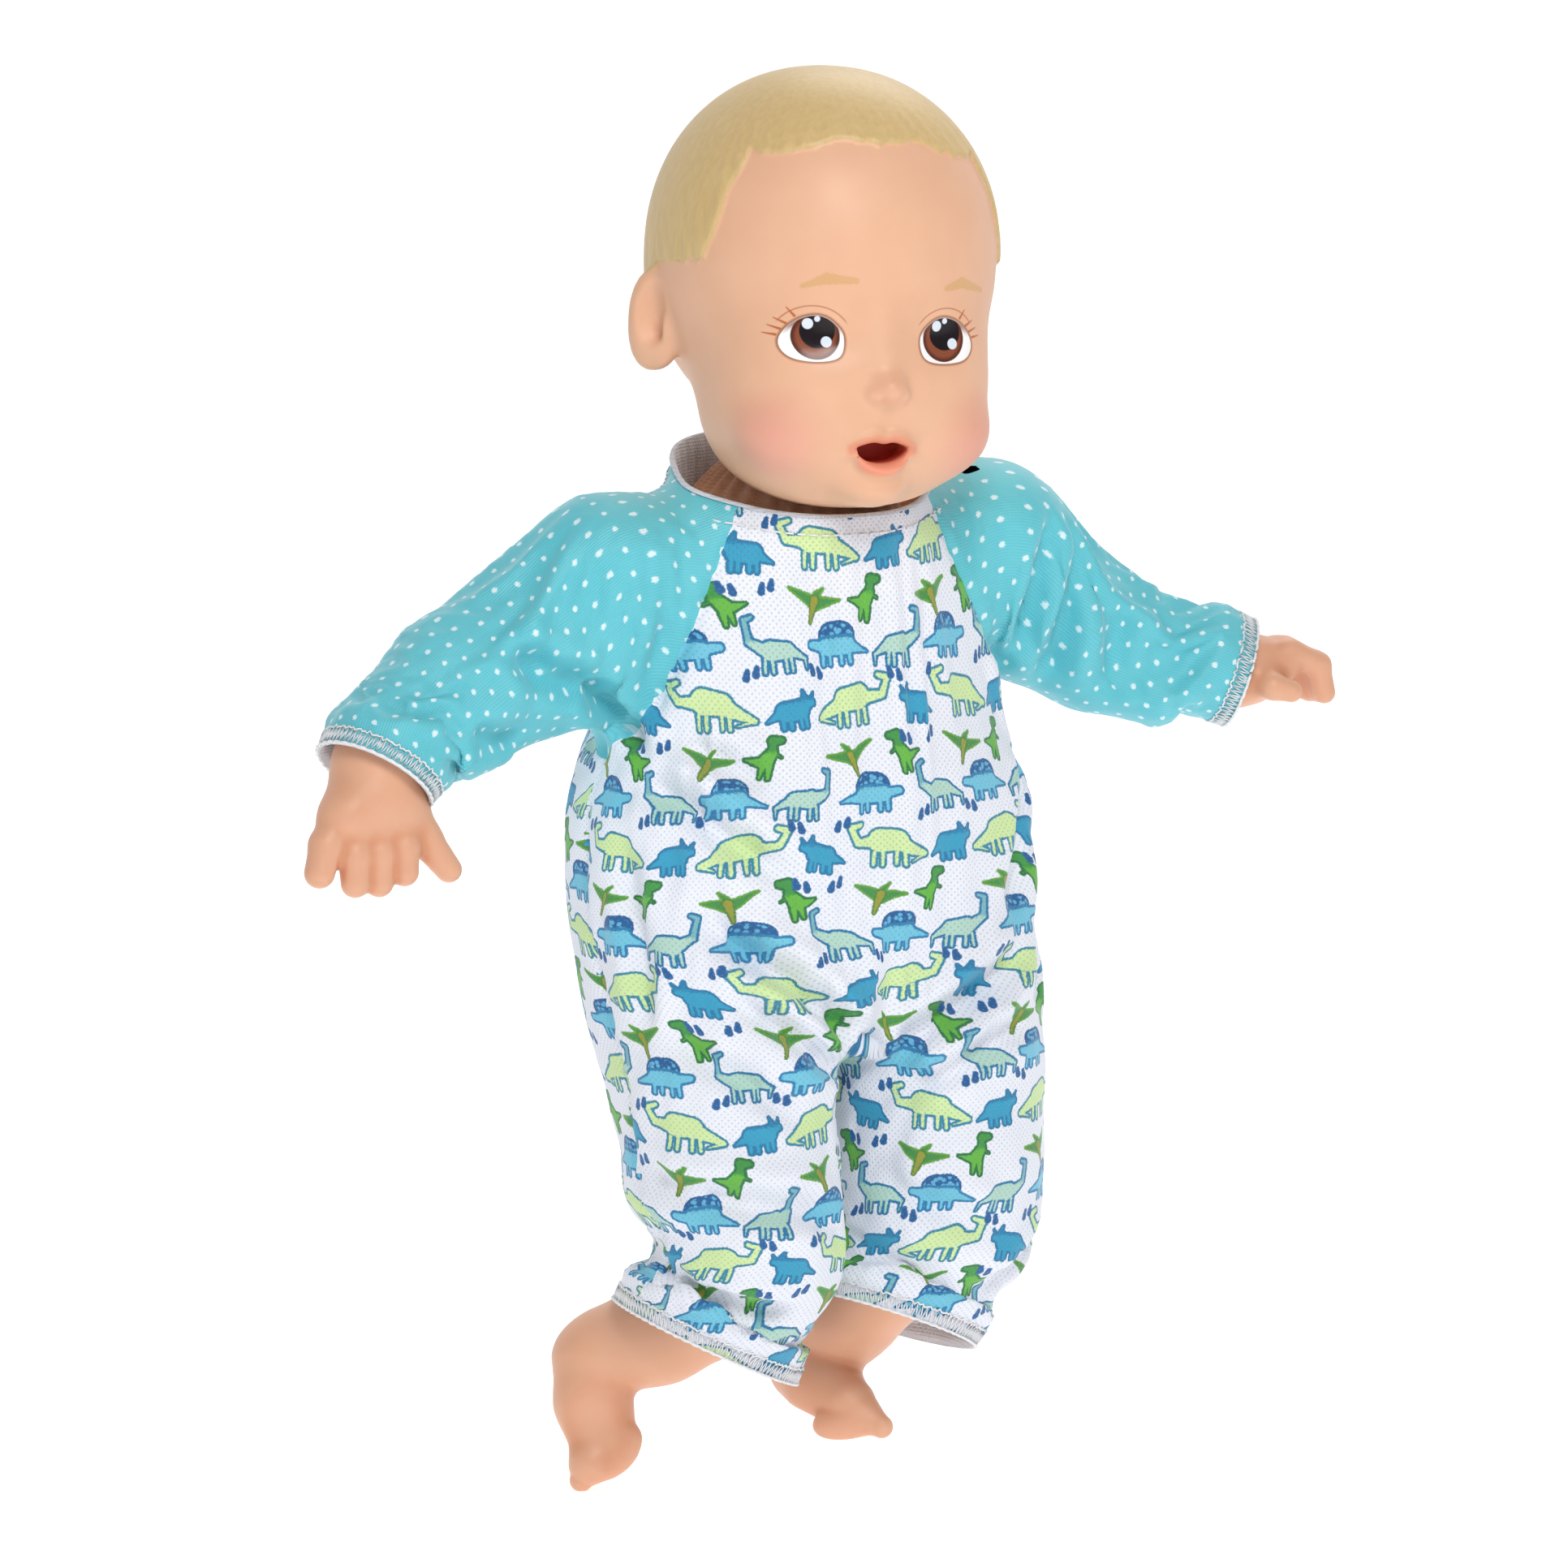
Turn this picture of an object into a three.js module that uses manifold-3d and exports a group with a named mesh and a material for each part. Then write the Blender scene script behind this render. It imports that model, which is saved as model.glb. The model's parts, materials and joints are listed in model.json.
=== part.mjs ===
// Interactive baby doll, 14 inch class: soft cloth body with a sound module, vinyl head and limbs, romper.
// Millimetres, +Z up. The doll faces -Y and its left side is +X. Needs the npm packages three and manifold-3d.
import * as THREE from "three";
import { mergeVertices } from "three/addons/utils/BufferGeometryUtils.js";
import Module from "manifold-3d";

const wasm = await Module();
wasm.setup();

// ---- Driving dimensions ----
const GAP = 0.4; // air between neighbouring pieces
const VINYL_WALL = 3; // head skin
const CLOTH_WALL = 1.2; // body skin
const KNIT_WALL = 1.5; // romper fabric
const OVERLOCK_WIDTH = 4.2; // stitched band at cuffs, hems and neck
const ROUND = 12; // sides of a limb
const FAR = 400; // longer than the doll, for cutting tools

const HIP_AXIS_HEIGHT = 132;
const SEAT_HEIGHT = 149; // underside of the cloth torso
const WAIST_HEIGHT = 163; // where the romper's body meets its legs
const NECK_HEIGHT = 246; // top of the cloth body
const COLLAR_HEIGHT = 236; // lower edge of the romper's neck band
const MODULE_CENTRE = [0, 0, 180];
const MODULE_RADIUS = 24;
const MODULE_FRONT = -25;
const MODULE_JOIN = -9;
const MODULE_REAR = 8;
const CASE_WALL = 1.6;
const BUTTON_RADIUS = 9;
const CELL_RADIUS = 5.8; // LR44 button cell
const CELL_THICKNESS = 5.4;

const HEAD_CENTRE = [0, 0, 300];
const NECK_AXIS = [0, 2, 252];
const NECK_BORE = 14.5; // hole in the head's underside
const NECK_BALL = 17.5;
const MOUTH = [0, -42, 271];
const MOUTH_HALF_WIDTH = 6.5;
const MOUTH_HALF_HEIGHT = 4.6;

const LIMB_TIE_WIDTH = 2.4;
const LIMB_TIE_DEPTH = 2;
const ARM_RADIUS = 13;
const SLEEVE_RADIUS = 19;
const THIGH_RADIUS = 15;
const TROUSER_RADIUS = 28;

// Each limb's own joints: root is the shoulder or hip, bend the elbow or knee, end the wrist or ankle.
const ARMS = {
  right: {
    root: [-40, 0, 236],
    bend: [-95, 4, 214],
    end: [-119, -4, 186],
    palm: [-122, -8, 174],
    fingers: [
      [[-129, -9, 175], [-139, -12, 168.5]],
      [[-126, -9, 174], [-129, -12, 162.5]],
      [[-121, -9, 173], [-122, -12, 162.5]],
      [[-116, -9, 174], [-114.5, -12, 164]],
      [[-115, -8, 174], [-102.5, -12, 161.5]],
    ],
  },
  left: {
    root: [40, 0, 236],
    bend: [88, 2, 212],
    end: [122, -12, 196],
    palm: [130, -14, 197],
    fingers: [
      [[132, -8, 201], [140, -8, 192]],
      [[132, -12, 202], [141, -12, 192]],
      [[132, -16, 202.5], [141.5, -16, 192]],
      [[132, -19, 202], [140.5, -20, 192]],
      [[122, -21, 194], [123, -27, 192.5]],
    ],
  },
};
const LEGS = {
  right: {
    root: [-29, -4, HIP_AXIS_HEIGHT],
    bend: [-27, -18, 48],
    end: [-48, 8, 36],
    heel: [-52, 12, 33],
    ball: [-52, 4, 16],
    toes: [[-57, 5, 6.5], [-48, -1, 12]],
    trouser: [[-30, -11, 87], [-33, -10, 38]],
    hem: { point: [-33, -10, 41], normal: [0.48, -0.12, 1] },
  },
  left: {
    root: [29, -4, HIP_AXIS_HEIGHT],
    bend: [21, -17, 54],
    end: [13, 10, 29],
    heel: [9, 14, 24],
    ball: [9.5, -6, 19],
    toes: [[12, -16, 14.5], [4, -12, 13]],
    trouser: [[28, -11, 87], [17, -6, 38]],
    hem: { point: [17, -6, 41], normal: [0.43, 0.1, 1] },
  },
};

// ---- Solids: closed geometry joined and cut ----
const vector = (p) => new THREE.Vector3(...p);
const blendPoints = (a, b, t) => vector(a).lerp(vector(b), t).toArray();

function solid(geometry) {
  const bare = geometry.clone();
  bare.deleteAttribute("normal");
  bare.deleteAttribute("uv");
  const merged = mergeVertices(bare, 1e-4);
  const mesh = new wasm.Mesh({
    numProp: 3,
    vertProperties: merged.attributes.position.array,
    triVerts: new Uint32Array(merged.index.array),
  });
  return new wasm.Manifold(mesh);
}

function geometryOf(body) {
  const mesh = body.getMesh();
  const geometry = new THREE.BufferGeometry();
  geometry.setAttribute("position", new THREE.BufferAttribute(mesh.vertProperties, 3));
  geometry.setIndex(new THREE.BufferAttribute(mesh.triVerts, 1));
  geometry.computeVertexNormals();
  return geometry;
}

const join = (first, ...others) => others.reduce((sum, other) => sum.add(other), first);
const cut = (first, ...others) => others.reduce((rest, other) => rest.subtract(other), first);
const common = (first, ...others) => others.reduce((rest, other) => rest.intersect(other), first);

function box(low, high) {
  const size = vector(high).sub(vector(low));
  const middle = blendPoints(low, high, 0.5);
  return solid(new THREE.BoxGeometry(size.x, size.y, size.z).translate(...middle));
}

// A solid of revolution about the Y direction through centre; outline holds [radius, y] pairs.
function turnedAboutY(outline, centre, sides = 24) {
  const points = outline.map(([radius, y]) => new THREE.Vector2(radius, y));
  return solid(new THREE.LatheGeometry(points, sides).translate(centre[0], 0, centre[2]));
}

// The same about the Z direction.
function turnedAboutZ(outline, centre, sides = 20) {
  const points = outline.map(([radius, z]) => new THREE.Vector2(radius, z));
  const lathe = new THREE.LatheGeometry(points, sides).rotateX(Math.PI / 2);
  return solid(lathe.translate(centre[0], centre[1], 0));
}

const disc = (radius, front, rear, centre = MODULE_CENTRE, sides = 24) =>
  turnedAboutY([[0, front], [radius, front], [radius, rear], [0, rear]], centre, sides);

function ellipsoid(centre, radii, sides = ROUND) {
  const ball = new THREE.SphereGeometry(1, sides, Math.round(sides * 0.6));
  return solid(ball.scale(...radii).translate(...centre));
}

const sphere = (centre, radius, sides = ROUND) => ellipsoid(centre, [radius, radius, radius], sides);

// A tapered rod with round ends, the building block of every limb.
function bone(from, to, fromRadius, toRadius = fromRadius, sides = ROUND) {
  const start = vector(from);
  const way = vector(to).sub(start);
  const length = way.length();
  const quarter = Math.PI / 2;
  const steps = 3;
  const outline = [];
  for (let i = 0; i <= steps; i++) {
    const angle = -quarter + (quarter * i) / steps;
    outline.push(new THREE.Vector2(fromRadius * Math.cos(angle), fromRadius * Math.sin(angle)));
  }
  for (let i = 0; i <= steps; i++) {
    const angle = (quarter * i) / steps;
    outline.push(new THREE.Vector2(toRadius * Math.cos(angle), length + toRadius * Math.sin(angle)));
  }
  outline[0].x = 0;
  outline[outline.length - 1].x = 0;
  const turn = new THREE.Quaternion().setFromUnitVectors(new THREE.Vector3(0, 1, 0), way.normalize());
  return solid(new THREE.LatheGeometry(outline, sides).applyQuaternion(turn).translate(...from));
}

// Everything on the side of a plane that its normal points to.
function beyond(point, normal) {
  const turn = new THREE.Quaternion().setFromUnitVectors(
    new THREE.Vector3(0, 0, 1),
    vector(normal).normalize(),
  );
  const slab = new THREE.BoxGeometry(FAR, FAR, FAR).translate(0, 0, FAR / 2);
  return solid(slab.applyQuaternion(turn).translate(...point));
}

const along = (from, to, distance) => {
  const way = vector(to).sub(vector(from)).normalize();
  return vector(from).addScaledVector(way, distance).toArray();
};
const direction = (from, to) => vector(to).sub(vector(from)).normalize().toArray();
const opposite = (way) => way.map((value) => -value);

// A band of the given width on the tube's axis between two solids' radii, ends square to the axis.
function slice(body, from, to, start, width) {
  const way = direction(from, to);
  const kept = cut(body, beyond(along(from, to, start + width), way));
  return cut(kept, beyond(along(from, to, start), opposite(way)));
}

// A stack of ellipses from the bottom up: levels hold [z, half width, half depth], grown by extra.
function stack(levels, extra = 0, sides = 20) {
  const positions = [];
  const triangles = [];
  levels.forEach(([z, halfWidth, halfDepth]) => {
    for (let i = 0; i < sides; i++) {
      const angle = (2 * Math.PI * i) / sides;
      positions.push((halfWidth + extra) * Math.cos(angle), (halfDepth + extra) * Math.sin(angle), z);
    }
  });
  for (let level = 0; level < levels.length - 1; level++) {
    for (let i = 0; i < sides; i++) {
      const a = level * sides + i;
      const b = level * sides + ((i + 1) % sides);
      triangles.push(a, b, b + sides, a, b + sides, a + sides);
    }
  }
  const last = levels.length - 1;
  const bottom = positions.length / 3;
  positions.push(0, 0, levels[0][0], 0, 0, levels[last][0]);
  for (let i = 0; i < sides; i++) {
    const next = (i + 1) % sides;
    triangles.push(bottom, next, i, bottom + 1, last * sides + i, last * sides + next);
  }
  const geometry = new THREE.BufferGeometry();
  geometry.setAttribute("position", new THREE.Float32BufferAttribute(positions, 3));
  geometry.setIndex(triangles);
  return solid(geometry);
}

// A round wire coil about the Y direction.
function coil(centre, radius, wire, front, rear, turns) {
  class Helix extends THREE.Curve {
    getPoint(t) {
      const angle = 2 * Math.PI * turns * t;
      const y = THREE.MathUtils.lerp(front, rear, t);
      return new THREE.Vector3(
        centre[0] + radius * Math.cos(angle),
        y,
        centre[2] + radius * Math.sin(angle),
      );
    }
  }
  const section = new THREE.Shape();
  section.absarc(0, 0, wire, 0, 2 * Math.PI);
  const options = { steps: turns * 10, curveSegments: 2, bevelEnabled: false, extrudePath: new Helix() };
  return solid(new THREE.ExtrudeGeometry(section, options));
}

// ---- Materials ----
const skin = [0xe2b596, 0.42, 0];
const clothSkin = [0xd9a987, 0.9, 0];
const stuffing = [0xf1efe9, 1, 0];
const knit = [0xe4e8e9, 0.85, 0];
const aqua = [0x74bdc9, 0.8, 0];
const thread = [0xf2f3f1, 0.8, 0];
const whitePlastic = [0xe9e9e6, 0.5, 0];
const greyPlastic = [0x8c9196, 0.5, 0];
const redPlastic = [0xd8574b, 0.45, 0];
const steel = [0xb9bcc0, 0.3, 0.9];
const boardGreen = [0x2f7a4c, 0.5, 0.1];
const nylon = [0xf4f2ea, 0.5, 0];

const toy = new THREE.Group();

function add(name, body, [colour, roughness, metalness]) {
  const material = new THREE.MeshStandardMaterial({ color: colour, roughness, metalness });
  const mesh = new THREE.Mesh(geometryOf(body), material);
  mesh.name = name;
  toy.add(mesh);
}

const frontHalf = box([-FAR, -FAR, -FAR], [FAR, -GAP / 2, FAR]);
const rearHalf = box([-FAR, GAP / 2, -FAR], [FAR, FAR, FAR]);

// ---- Cloth body ----
const TORSO_LEVELS = [
  [SEAT_HEIGHT, 36, 22],
  [153, 42, 31],
  [165, 44, 34],
  [185, 44, 34],
  [205, 37, 30],
  [222, 29, 25],
  [236, 21, 20],
  [NECK_HEIGHT - 2, 14, 14],
  [NECK_HEIGHT, 12.4, 12.4],
];
const POCKET = { halfWidth: 25, low: 164, high: 203 };

// The same levels pulled in all round, top and bottom included.
const insetLevels = (levels, inset) =>
  levels.map(([z, w, d], i) => {
    const shift = i === 0 ? inset : i === levels.length - 1 ? -inset : 0;
    return [z + shift, w - inset, d - inset];
  });

function addClothBody() {
  const outer = stack(TORSO_LEVELS);
  const inner = stack(insetLevels(TORSO_LEVELS, CLOTH_WALL));
  const neckHole = turnedAboutZ([[0, 230], [10.4, 230], [10.4, 300], [0, 300]], NECK_AXIS);
  const shell = cut(outer, inner, neckHole);
  const pocket = box([-POCKET.halfWidth, 0, POCKET.low], [POCKET.halfWidth, FAR, POCKET.high]);
  add("skin_front", common(shell, frontHalf), clothSkin);
  add("skin_back", cut(common(shell, rearHalf), pocket), clothSkin);
  const flapBox = box(
    [-POCKET.halfWidth + GAP, 0, POCKET.low + GAP],
    [POCKET.halfWidth - GAP, FAR, POCKET.high - GAP],
  );
  add("pocket_flap", common(shell, rearHalf, flapBox), clothSkin);

  const core = stack(insetLevels(TORSO_LEVELS.slice(0, -2), CLOTH_WALL + GAP));
  const moduleRoom = disc(MODULE_RADIUS + GAP, -FAR, MODULE_REAR + GAP);
  const accessRoom = box([-POCKET.halfWidth, 0, POCKET.low], [POCKET.halfWidth, FAR, POCKET.high]);
  const plugRoom = turnedAboutZ([[0, 226], [14, 226], [14, 300], [0, 300]], NECK_AXIS);
  add("stuffing_core", cut(core, moduleRoom, accessRoom, plugRoom), stuffing);

  const stripLow = POCKET.low + 3;
  add("pocket_loop_strip", box([-18, 27.4, stripLow], [18, 28.8, stripLow + 9]), nylon);
  add("pocket_hook_strip", box([-18, 25.6, stripLow], [18, 27, stripLow + 9]), nylon);
}

// ---- Sound module in the tummy ----
const [MODULE_X, , MODULE_Z] = MODULE_CENTRE;
const SPEAKER_CENTRE = [MODULE_X, 0, MODULE_Z + 12];
const BUTTON_CENTRE = [MODULE_X, 0, MODULE_Z - 7];
const SCREW_X = 17;
const SCREW_Z = MODULE_Z + 12;
const SWITCH_CENTRE = [MODULE_X, 0, MODULE_Z + 17];
const DOOR = { halfWidth: 18.4, low: MODULE_Z - 11, high: MODULE_Z + 7 };

function caseShell(front, rear, openAtFront) {
  const outer = disc(MODULE_RADIUS, front, rear);
  const inside = openAtFront
    ? disc(MODULE_RADIUS - CASE_WALL, front - 1, rear - CASE_WALL)
    : disc(MODULE_RADIUS - CASE_WALL, front + CASE_WALL, rear + 1);
  return cut(outer, inside);
}

function grille() {
  const holes = [];
  for (let i = 0; i < 5; i++) {
    const x = (i - 2) * 4;
    holes.push(disc(1.2, MODULE_FRONT - 1, MODULE_FRONT + 3, [x, 0, SPEAKER_CENTRE[2] + 1], 8));
  }
  return holes;
}

function addSoundModule() {
  const buttonHole = disc(BUTTON_RADIUS + GAP, MODULE_FRONT - 1, MODULE_FRONT + 3, BUTTON_CENTRE);
  const front = cut(caseShell(MODULE_FRONT, MODULE_JOIN, false), buttonHole, ...grille());
  add("sound_case_front", front, whitePlastic);

  const doorHole = box(
    [-DOOR.halfWidth, MODULE_REAR - 4, DOOR.low],
    [DOOR.halfWidth, MODULE_REAR + 4, DOOR.high],
  );
  const switchSlot = box(
    [-5, MODULE_REAR - 4, SWITCH_CENTRE[2] - 1.8],
    [5, MODULE_REAR + 4, SWITCH_CENTRE[2] + 1.8],
  );
  const screwHoles = [-1, 1].map((side) =>
    disc(1.5, 0, MODULE_REAR + 4, [side * SCREW_X, 0, SCREW_Z], 12),
  );
  const rear = caseShell(MODULE_JOIN + GAP, MODULE_REAR, true);
  add("sound_case_rear", cut(rear, doorHole, switchSlot, ...screwHoles), whitePlastic);

  [["left", 1], ["right", -1]].forEach(([side, sign]) => {
    add(`case_screw_${side}`, screw([sign * SCREW_X, 0, SCREW_Z], MODULE_REAR + 1.4, 7), steel);
  });

  const doorScrewCentre = [0, 0, DOOR.high - 3.4];
  const door = box(
    [-DOOR.halfWidth + GAP, MODULE_REAR - CASE_WALL, DOOR.low + GAP],
    [DOOR.halfWidth - GAP, MODULE_REAR, DOOR.high - GAP],
  );
  add("battery_door", cut(door, disc(1.5, 0, MODULE_REAR + 4, doorScrewCentre, 12)), whitePlastic);
  add("battery_door_screw", screw(doorScrewCentre, MODULE_REAR + 1.4, 3), steel);

  const pitch = 2 * CELL_RADIUS + GAP;
  const cellZ = DOOR.low + CELL_RADIUS - 1;
  const cellRear = MODULE_REAR - CASE_WALL - GAP;
  [-1, 0, 1].forEach((place) => {
    const centre = [place * pitch, 0, cellZ];
    const cell = disc(CELL_RADIUS, cellRear - CELL_THICKNESS, cellRear, centre, 20);
    add(`button_cell_${place + 2}`, cell, steel);
  });
  const contactRear = cellRear - CELL_THICKNESS - GAP;
  add("battery_contact", box([-17, contactRear - 0.5, cellZ - 3], [17, contactRear, cellZ + 3]), steel);

  const boardFront = MODULE_JOIN + 3;
  add("circuit_board", disc(MODULE_RADIUS - CASE_WALL - GAP, boardFront, boardFront + 1.2), boardGreen);
  const rim = MODULE_FRONT + CASE_WALL + GAP;
  const speakerOutline = [[0, rim], [8, rim], [8, rim + 2.6], [4.5, rim + 6.6], [0, rim + 6.6]];
  add("speaker", turnedAboutY(speakerOutline, SPEAKER_CENTRE, 24), greyPlastic);
}

// A pan-head screw along Y whose head sits just outside the given face.
function screw(centre, headRear, length) {
  const neck = headRear - 1.1;
  const outline = [[0, neck - length], [1.1, neck - length], [1.1, neck], [2.3, neck], [2.3, headRear], [0, headRear]];
  return turnedAboutY(outline, centre, 12);
}

function addTummyButton() {
  const front = MODULE_FRONT - 3.2;
  const flange = BUTTON_RADIUS + 1.6;
  const flangeFront = MODULE_FRONT + CASE_WALL + GAP;
  const outline = [
    [0, front],
    [BUTTON_RADIUS - 1.5, front],
    [BUTTON_RADIUS, front + 1.2],
    [BUTTON_RADIUS, flangeFront],
    [flange, flangeFront],
    [flange, flangeFront + 1.4],
    [0, flangeFront + 1.4],
  ];
  add("tummy_button", turnedAboutY(outline, BUTTON_CENTRE), redPlastic);
  const springFront = flangeFront + 1.4 + GAP + 0.6;
  add("button_spring", coil(BUTTON_CENTRE, 4, 0.5, springFront, MODULE_JOIN + 1.8, 4), steel);
}

function addPowerSwitch() {
  const [x, , z] = SWITCH_CENTRE;
  const knob = box([x - 4, MODULE_REAR - 0.6, z - 1.4], [x, MODULE_REAR + 1.6, z + 1.4]);
  const foot = box([x - 6, MODULE_REAR - CASE_WALL - GAP - 1, z - 3], [x + 2, MODULE_REAR - CASE_WALL - GAP, z + 3]);
  const stem = box([x - 3.4, MODULE_REAR - CASE_WALL - GAP - 0.5, z - 1.2], [x - 0.6, MODULE_REAR, z + 1.2]);
  add("power_switch_knob", join(knob, stem, foot), greyPlastic);
}

// ---- Head ----
const HEAD_LUMPS = [
  { centre: [0, 4, 306], radii: [44, 49, 46] }, // cranium with the moulded hair
  { centre: [0, -8, 281], radii: [41, 38, 33] }, // lower face
  { centre: [0, -18, 300], radii: [36, 30, 32] }, // forehead and brows
  { centre: [-17, -14, 272], radii: [24, 24, 23] }, // cheeks
  { centre: [17, -14, 272], radii: [24, 24, 23] },
  { centre: [0, -24, 260], radii: [15, 15, 11] }, // chin
];
const EARS = [[-43, 8, 290], [43, 8, 290]];
const NOSE = [0, -45, 282];

// How far a lump reaches from the head's centre along a unit direction.
function lumpReach({ centre, radii }, way) {
  let a = 0;
  let b = 0;
  let c = -1;
  for (let i = 0; i < 3; i++) {
    const offset = HEAD_CENTRE[i] - centre[i];
    const square = radii[i] * radii[i];
    a += (way[i] * way[i]) / square;
    b += (2 * way[i] * offset) / square;
    c += (offset * offset) / square;
  }
  const inside = b * b - 4 * a * c;
  return inside < 0 ? 0 : Math.max(0, (-b + Math.sqrt(inside)) / (2 * a));
}

function headForm(inset, across, down) {
  const sharpness = 14;
  const ball = new THREE.SphereGeometry(1, across, down).rotateX(Math.PI / 2);
  const places = ball.attributes.position;
  const way = new THREE.Vector3();
  for (let i = 0; i < places.count; i++) {
    way.fromBufferAttribute(places, i).normalize();
    const sum = HEAD_LUMPS.reduce((s, lump) => s + lumpReach(lump, way.toArray()) ** sharpness, 0);
    way.multiplyScalar(sum ** (1 / sharpness) - inset).add(vector(HEAD_CENTRE));
    places.setXYZ(i, way.x, way.y, way.z);
  }
  return solid(ball);
}

function mouthHole() {
  const opening = new THREE.CylinderGeometry(1, 1, 30, 20);
  opening.scale(MOUTH_HALF_WIDTH, 1, MOUTH_HALF_HEIGHT);
  return solid(opening.translate(...MOUTH));
}

function addHead() {
  const ears = EARS.map((centre) => ellipsoid(centre, [5, 6, 10], 10));
  const outer = join(headForm(0, 26, 18), ...ears, ellipsoid(NOSE, [4, 4.5, 3.6], 10));
  const neckHole = turnedAboutZ([[0, 200], [NECK_BORE, 200], [NECK_BORE, 266], [0, 266]], NECK_AXIS);
  const shell = cut(outer, headForm(VINYL_WALL, 16, 11), neckHole, mouthHole());
  add("head_shell", shell, skin);

  const cupFront = MOUTH[1] + 6;
  const cupRear = cupFront + 10;
  const cupOutline = [[7.6, cupFront], [9, cupFront], [9, cupRear], [3.2, cupRear]];
  const cupInside = [[3.2, cupRear - 1.4], [7.6, cupRear - 1.4], [7.6, cupFront]];
  const cup = turnedAboutY([...cupOutline, ...cupInside], MOUTH, 24);
  add("mouth_cup", cup, redPlastic);

  const switchFront = cupRear + GAP;
  const switchBody = disc(6.5, switchFront, switchFront + 8, MOUTH, 20);
  const bore = disc(2.9, switchFront - 1, switchFront + 7, MOUTH, 16);
  add("mouth_switch_housing", cut(switchBody, bore), whitePlastic);
  const plungerOutline = [[0, cupFront + 4], [2.4, cupFront + 5], [2.4, switchFront + 4], [0, switchFront + 4]];
  add("mouth_plunger", turnedAboutY(plungerOutline, MOUTH, 16), greyPlastic);
}

function addNeckPlug() {
  const outline = [
    [0, 230],
    [12, 230],
    [12, 233],
    [8.6, 234],
    [8.6, NECK_HEIGHT + 10],
    [NECK_BALL - 4, NECK_HEIGHT + 12.5],
    [NECK_BALL, NECK_HEIGHT + 16],
    [NECK_BALL - 3, NECK_HEIGHT + 22],
    [0, NECK_HEIGHT + 26],
  ];
  add("neck_plug", turnedAboutZ(outline, NECK_AXIS), whitePlastic);
}

// ---- Limbs ----
function addTie(name, from, to, start, radius) {
  const clearance = 0.3;
  const ring = cut(
    bone(from, to, radius + clearance + 1.3),
    bone(along(from, to, -FAR / 8), along(from, to, FAR / 2), radius + clearance),
  );
  add(name, slice(ring, from, to, start + clearance, LIMB_TIE_WIDTH - 2 * clearance), nylon);
}

// Cuts the groove that the cable tie pulls the cloth into, leaving a core of the given radius.
function grooved(limb, from, to, start, radius) {
  const ring = cut(bone(from, to, 2 * radius), bone(from, to, radius));
  return cut(limb, slice(ring, from, to, start, LIMB_TIE_WIDTH));
}

const ARM_CLOTH_LENGTH = 27; // from the shoulder to where the vinyl starts
const SLEEVE_START = 22;

function addArm(side, { root, bend, end, palm, fingers }) {
  const way = direction(root, bend);
  const clothEnd = along(root, bend, ARM_CLOTH_LENGTH);
  const cloth = cut(bone(root, bend, ARM_RADIUS), beyond(clothEnd, way));
  add(`upper_arm_${side}`, cloth, clothSkin);

  const vinylStart = along(root, bend, ARM_CLOTH_LENGTH + GAP);
  const digits = fingers.map(([knuckle, tip]) => bone(knuckle, tip, 3.2, 2.9, 6));
  const limb = join(
    bone(root, bend, ARM_RADIUS),
    bone(bend, end, ARM_RADIUS, 9.5),
    ellipsoid(palm, side === "right" ? [10, 6.5, 8] : [8, 9, 7]),
    ...digits,
  );
  const grooveStart = ARM_CLOTH_LENGTH + GAP + 2.5;
  const grooveRadius = ARM_RADIUS - LIMB_TIE_DEPTH;
  const vinyl = cut(limb, beyond(vinylStart, opposite(way)));
  add(`arm_${side}`, grooved(vinyl, root, bend, grooveStart, grooveRadius), skin);
  addTie(`arm_tie_${side}`, root, bend, grooveStart, grooveRadius);

  const cuffWay = direction(bend, end);
  const sleeveForm = (inset) =>
    join(
      bone(root, bend, SLEEVE_RADIUS - inset, SLEEVE_RADIUS - inset),
      bone(bend, end, SLEEVE_RADIUS - inset, 15 - inset),
      bone(end, along(end, bend, -FAR / 8), 15 - inset),
    );
  const tube = cut(sleeveForm(0), sleeveForm(KNIT_WALL));
  const openTube = cut(tube, beyond(along(root, bend, SLEEVE_START), opposite(way)));
  const cuffStart = along(end, bend, OVERLOCK_WIDTH / 2);
  const cuffEnd = along(end, bend, -OVERLOCK_WIDTH / 2);
  add(`sleeve_${side}`, cut(openTube, beyond(cuffStart, cuffWay)), aqua);
  const cuffBand = cut(openTube, beyond(along(cuffStart, cuffEnd, GAP), opposite(cuffWay)));
  add(`cuff_${side}`, cut(cuffBand, beyond(cuffEnd, cuffWay)), thread);
}

const LEG_CLOTH_LENGTH = 38; // from the hip to where the vinyl starts
const HIP_SWING = { back: -15, forward: 60, step: 2.5 }; // degrees

// The trouser's top, cut back where the cloth torso would meet it as the leg swings about the hip.
function clearOfTorso(trouser, root) {
  const torso = geometryOf(stack(TORSO_LEVELS.slice(0, 5), GAP));
  let cleared = trouser;
  for (let degrees = HIP_SWING.back; degrees <= HIP_SWING.forward; degrees += HIP_SWING.step) {
    const turned = torso.clone().translate(...opposite(root));
    turned.rotateX(THREE.MathUtils.degToRad(degrees)).translate(...root);
    cleared = cut(cleared, solid(turned));
  }
  return cleared;
}

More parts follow.
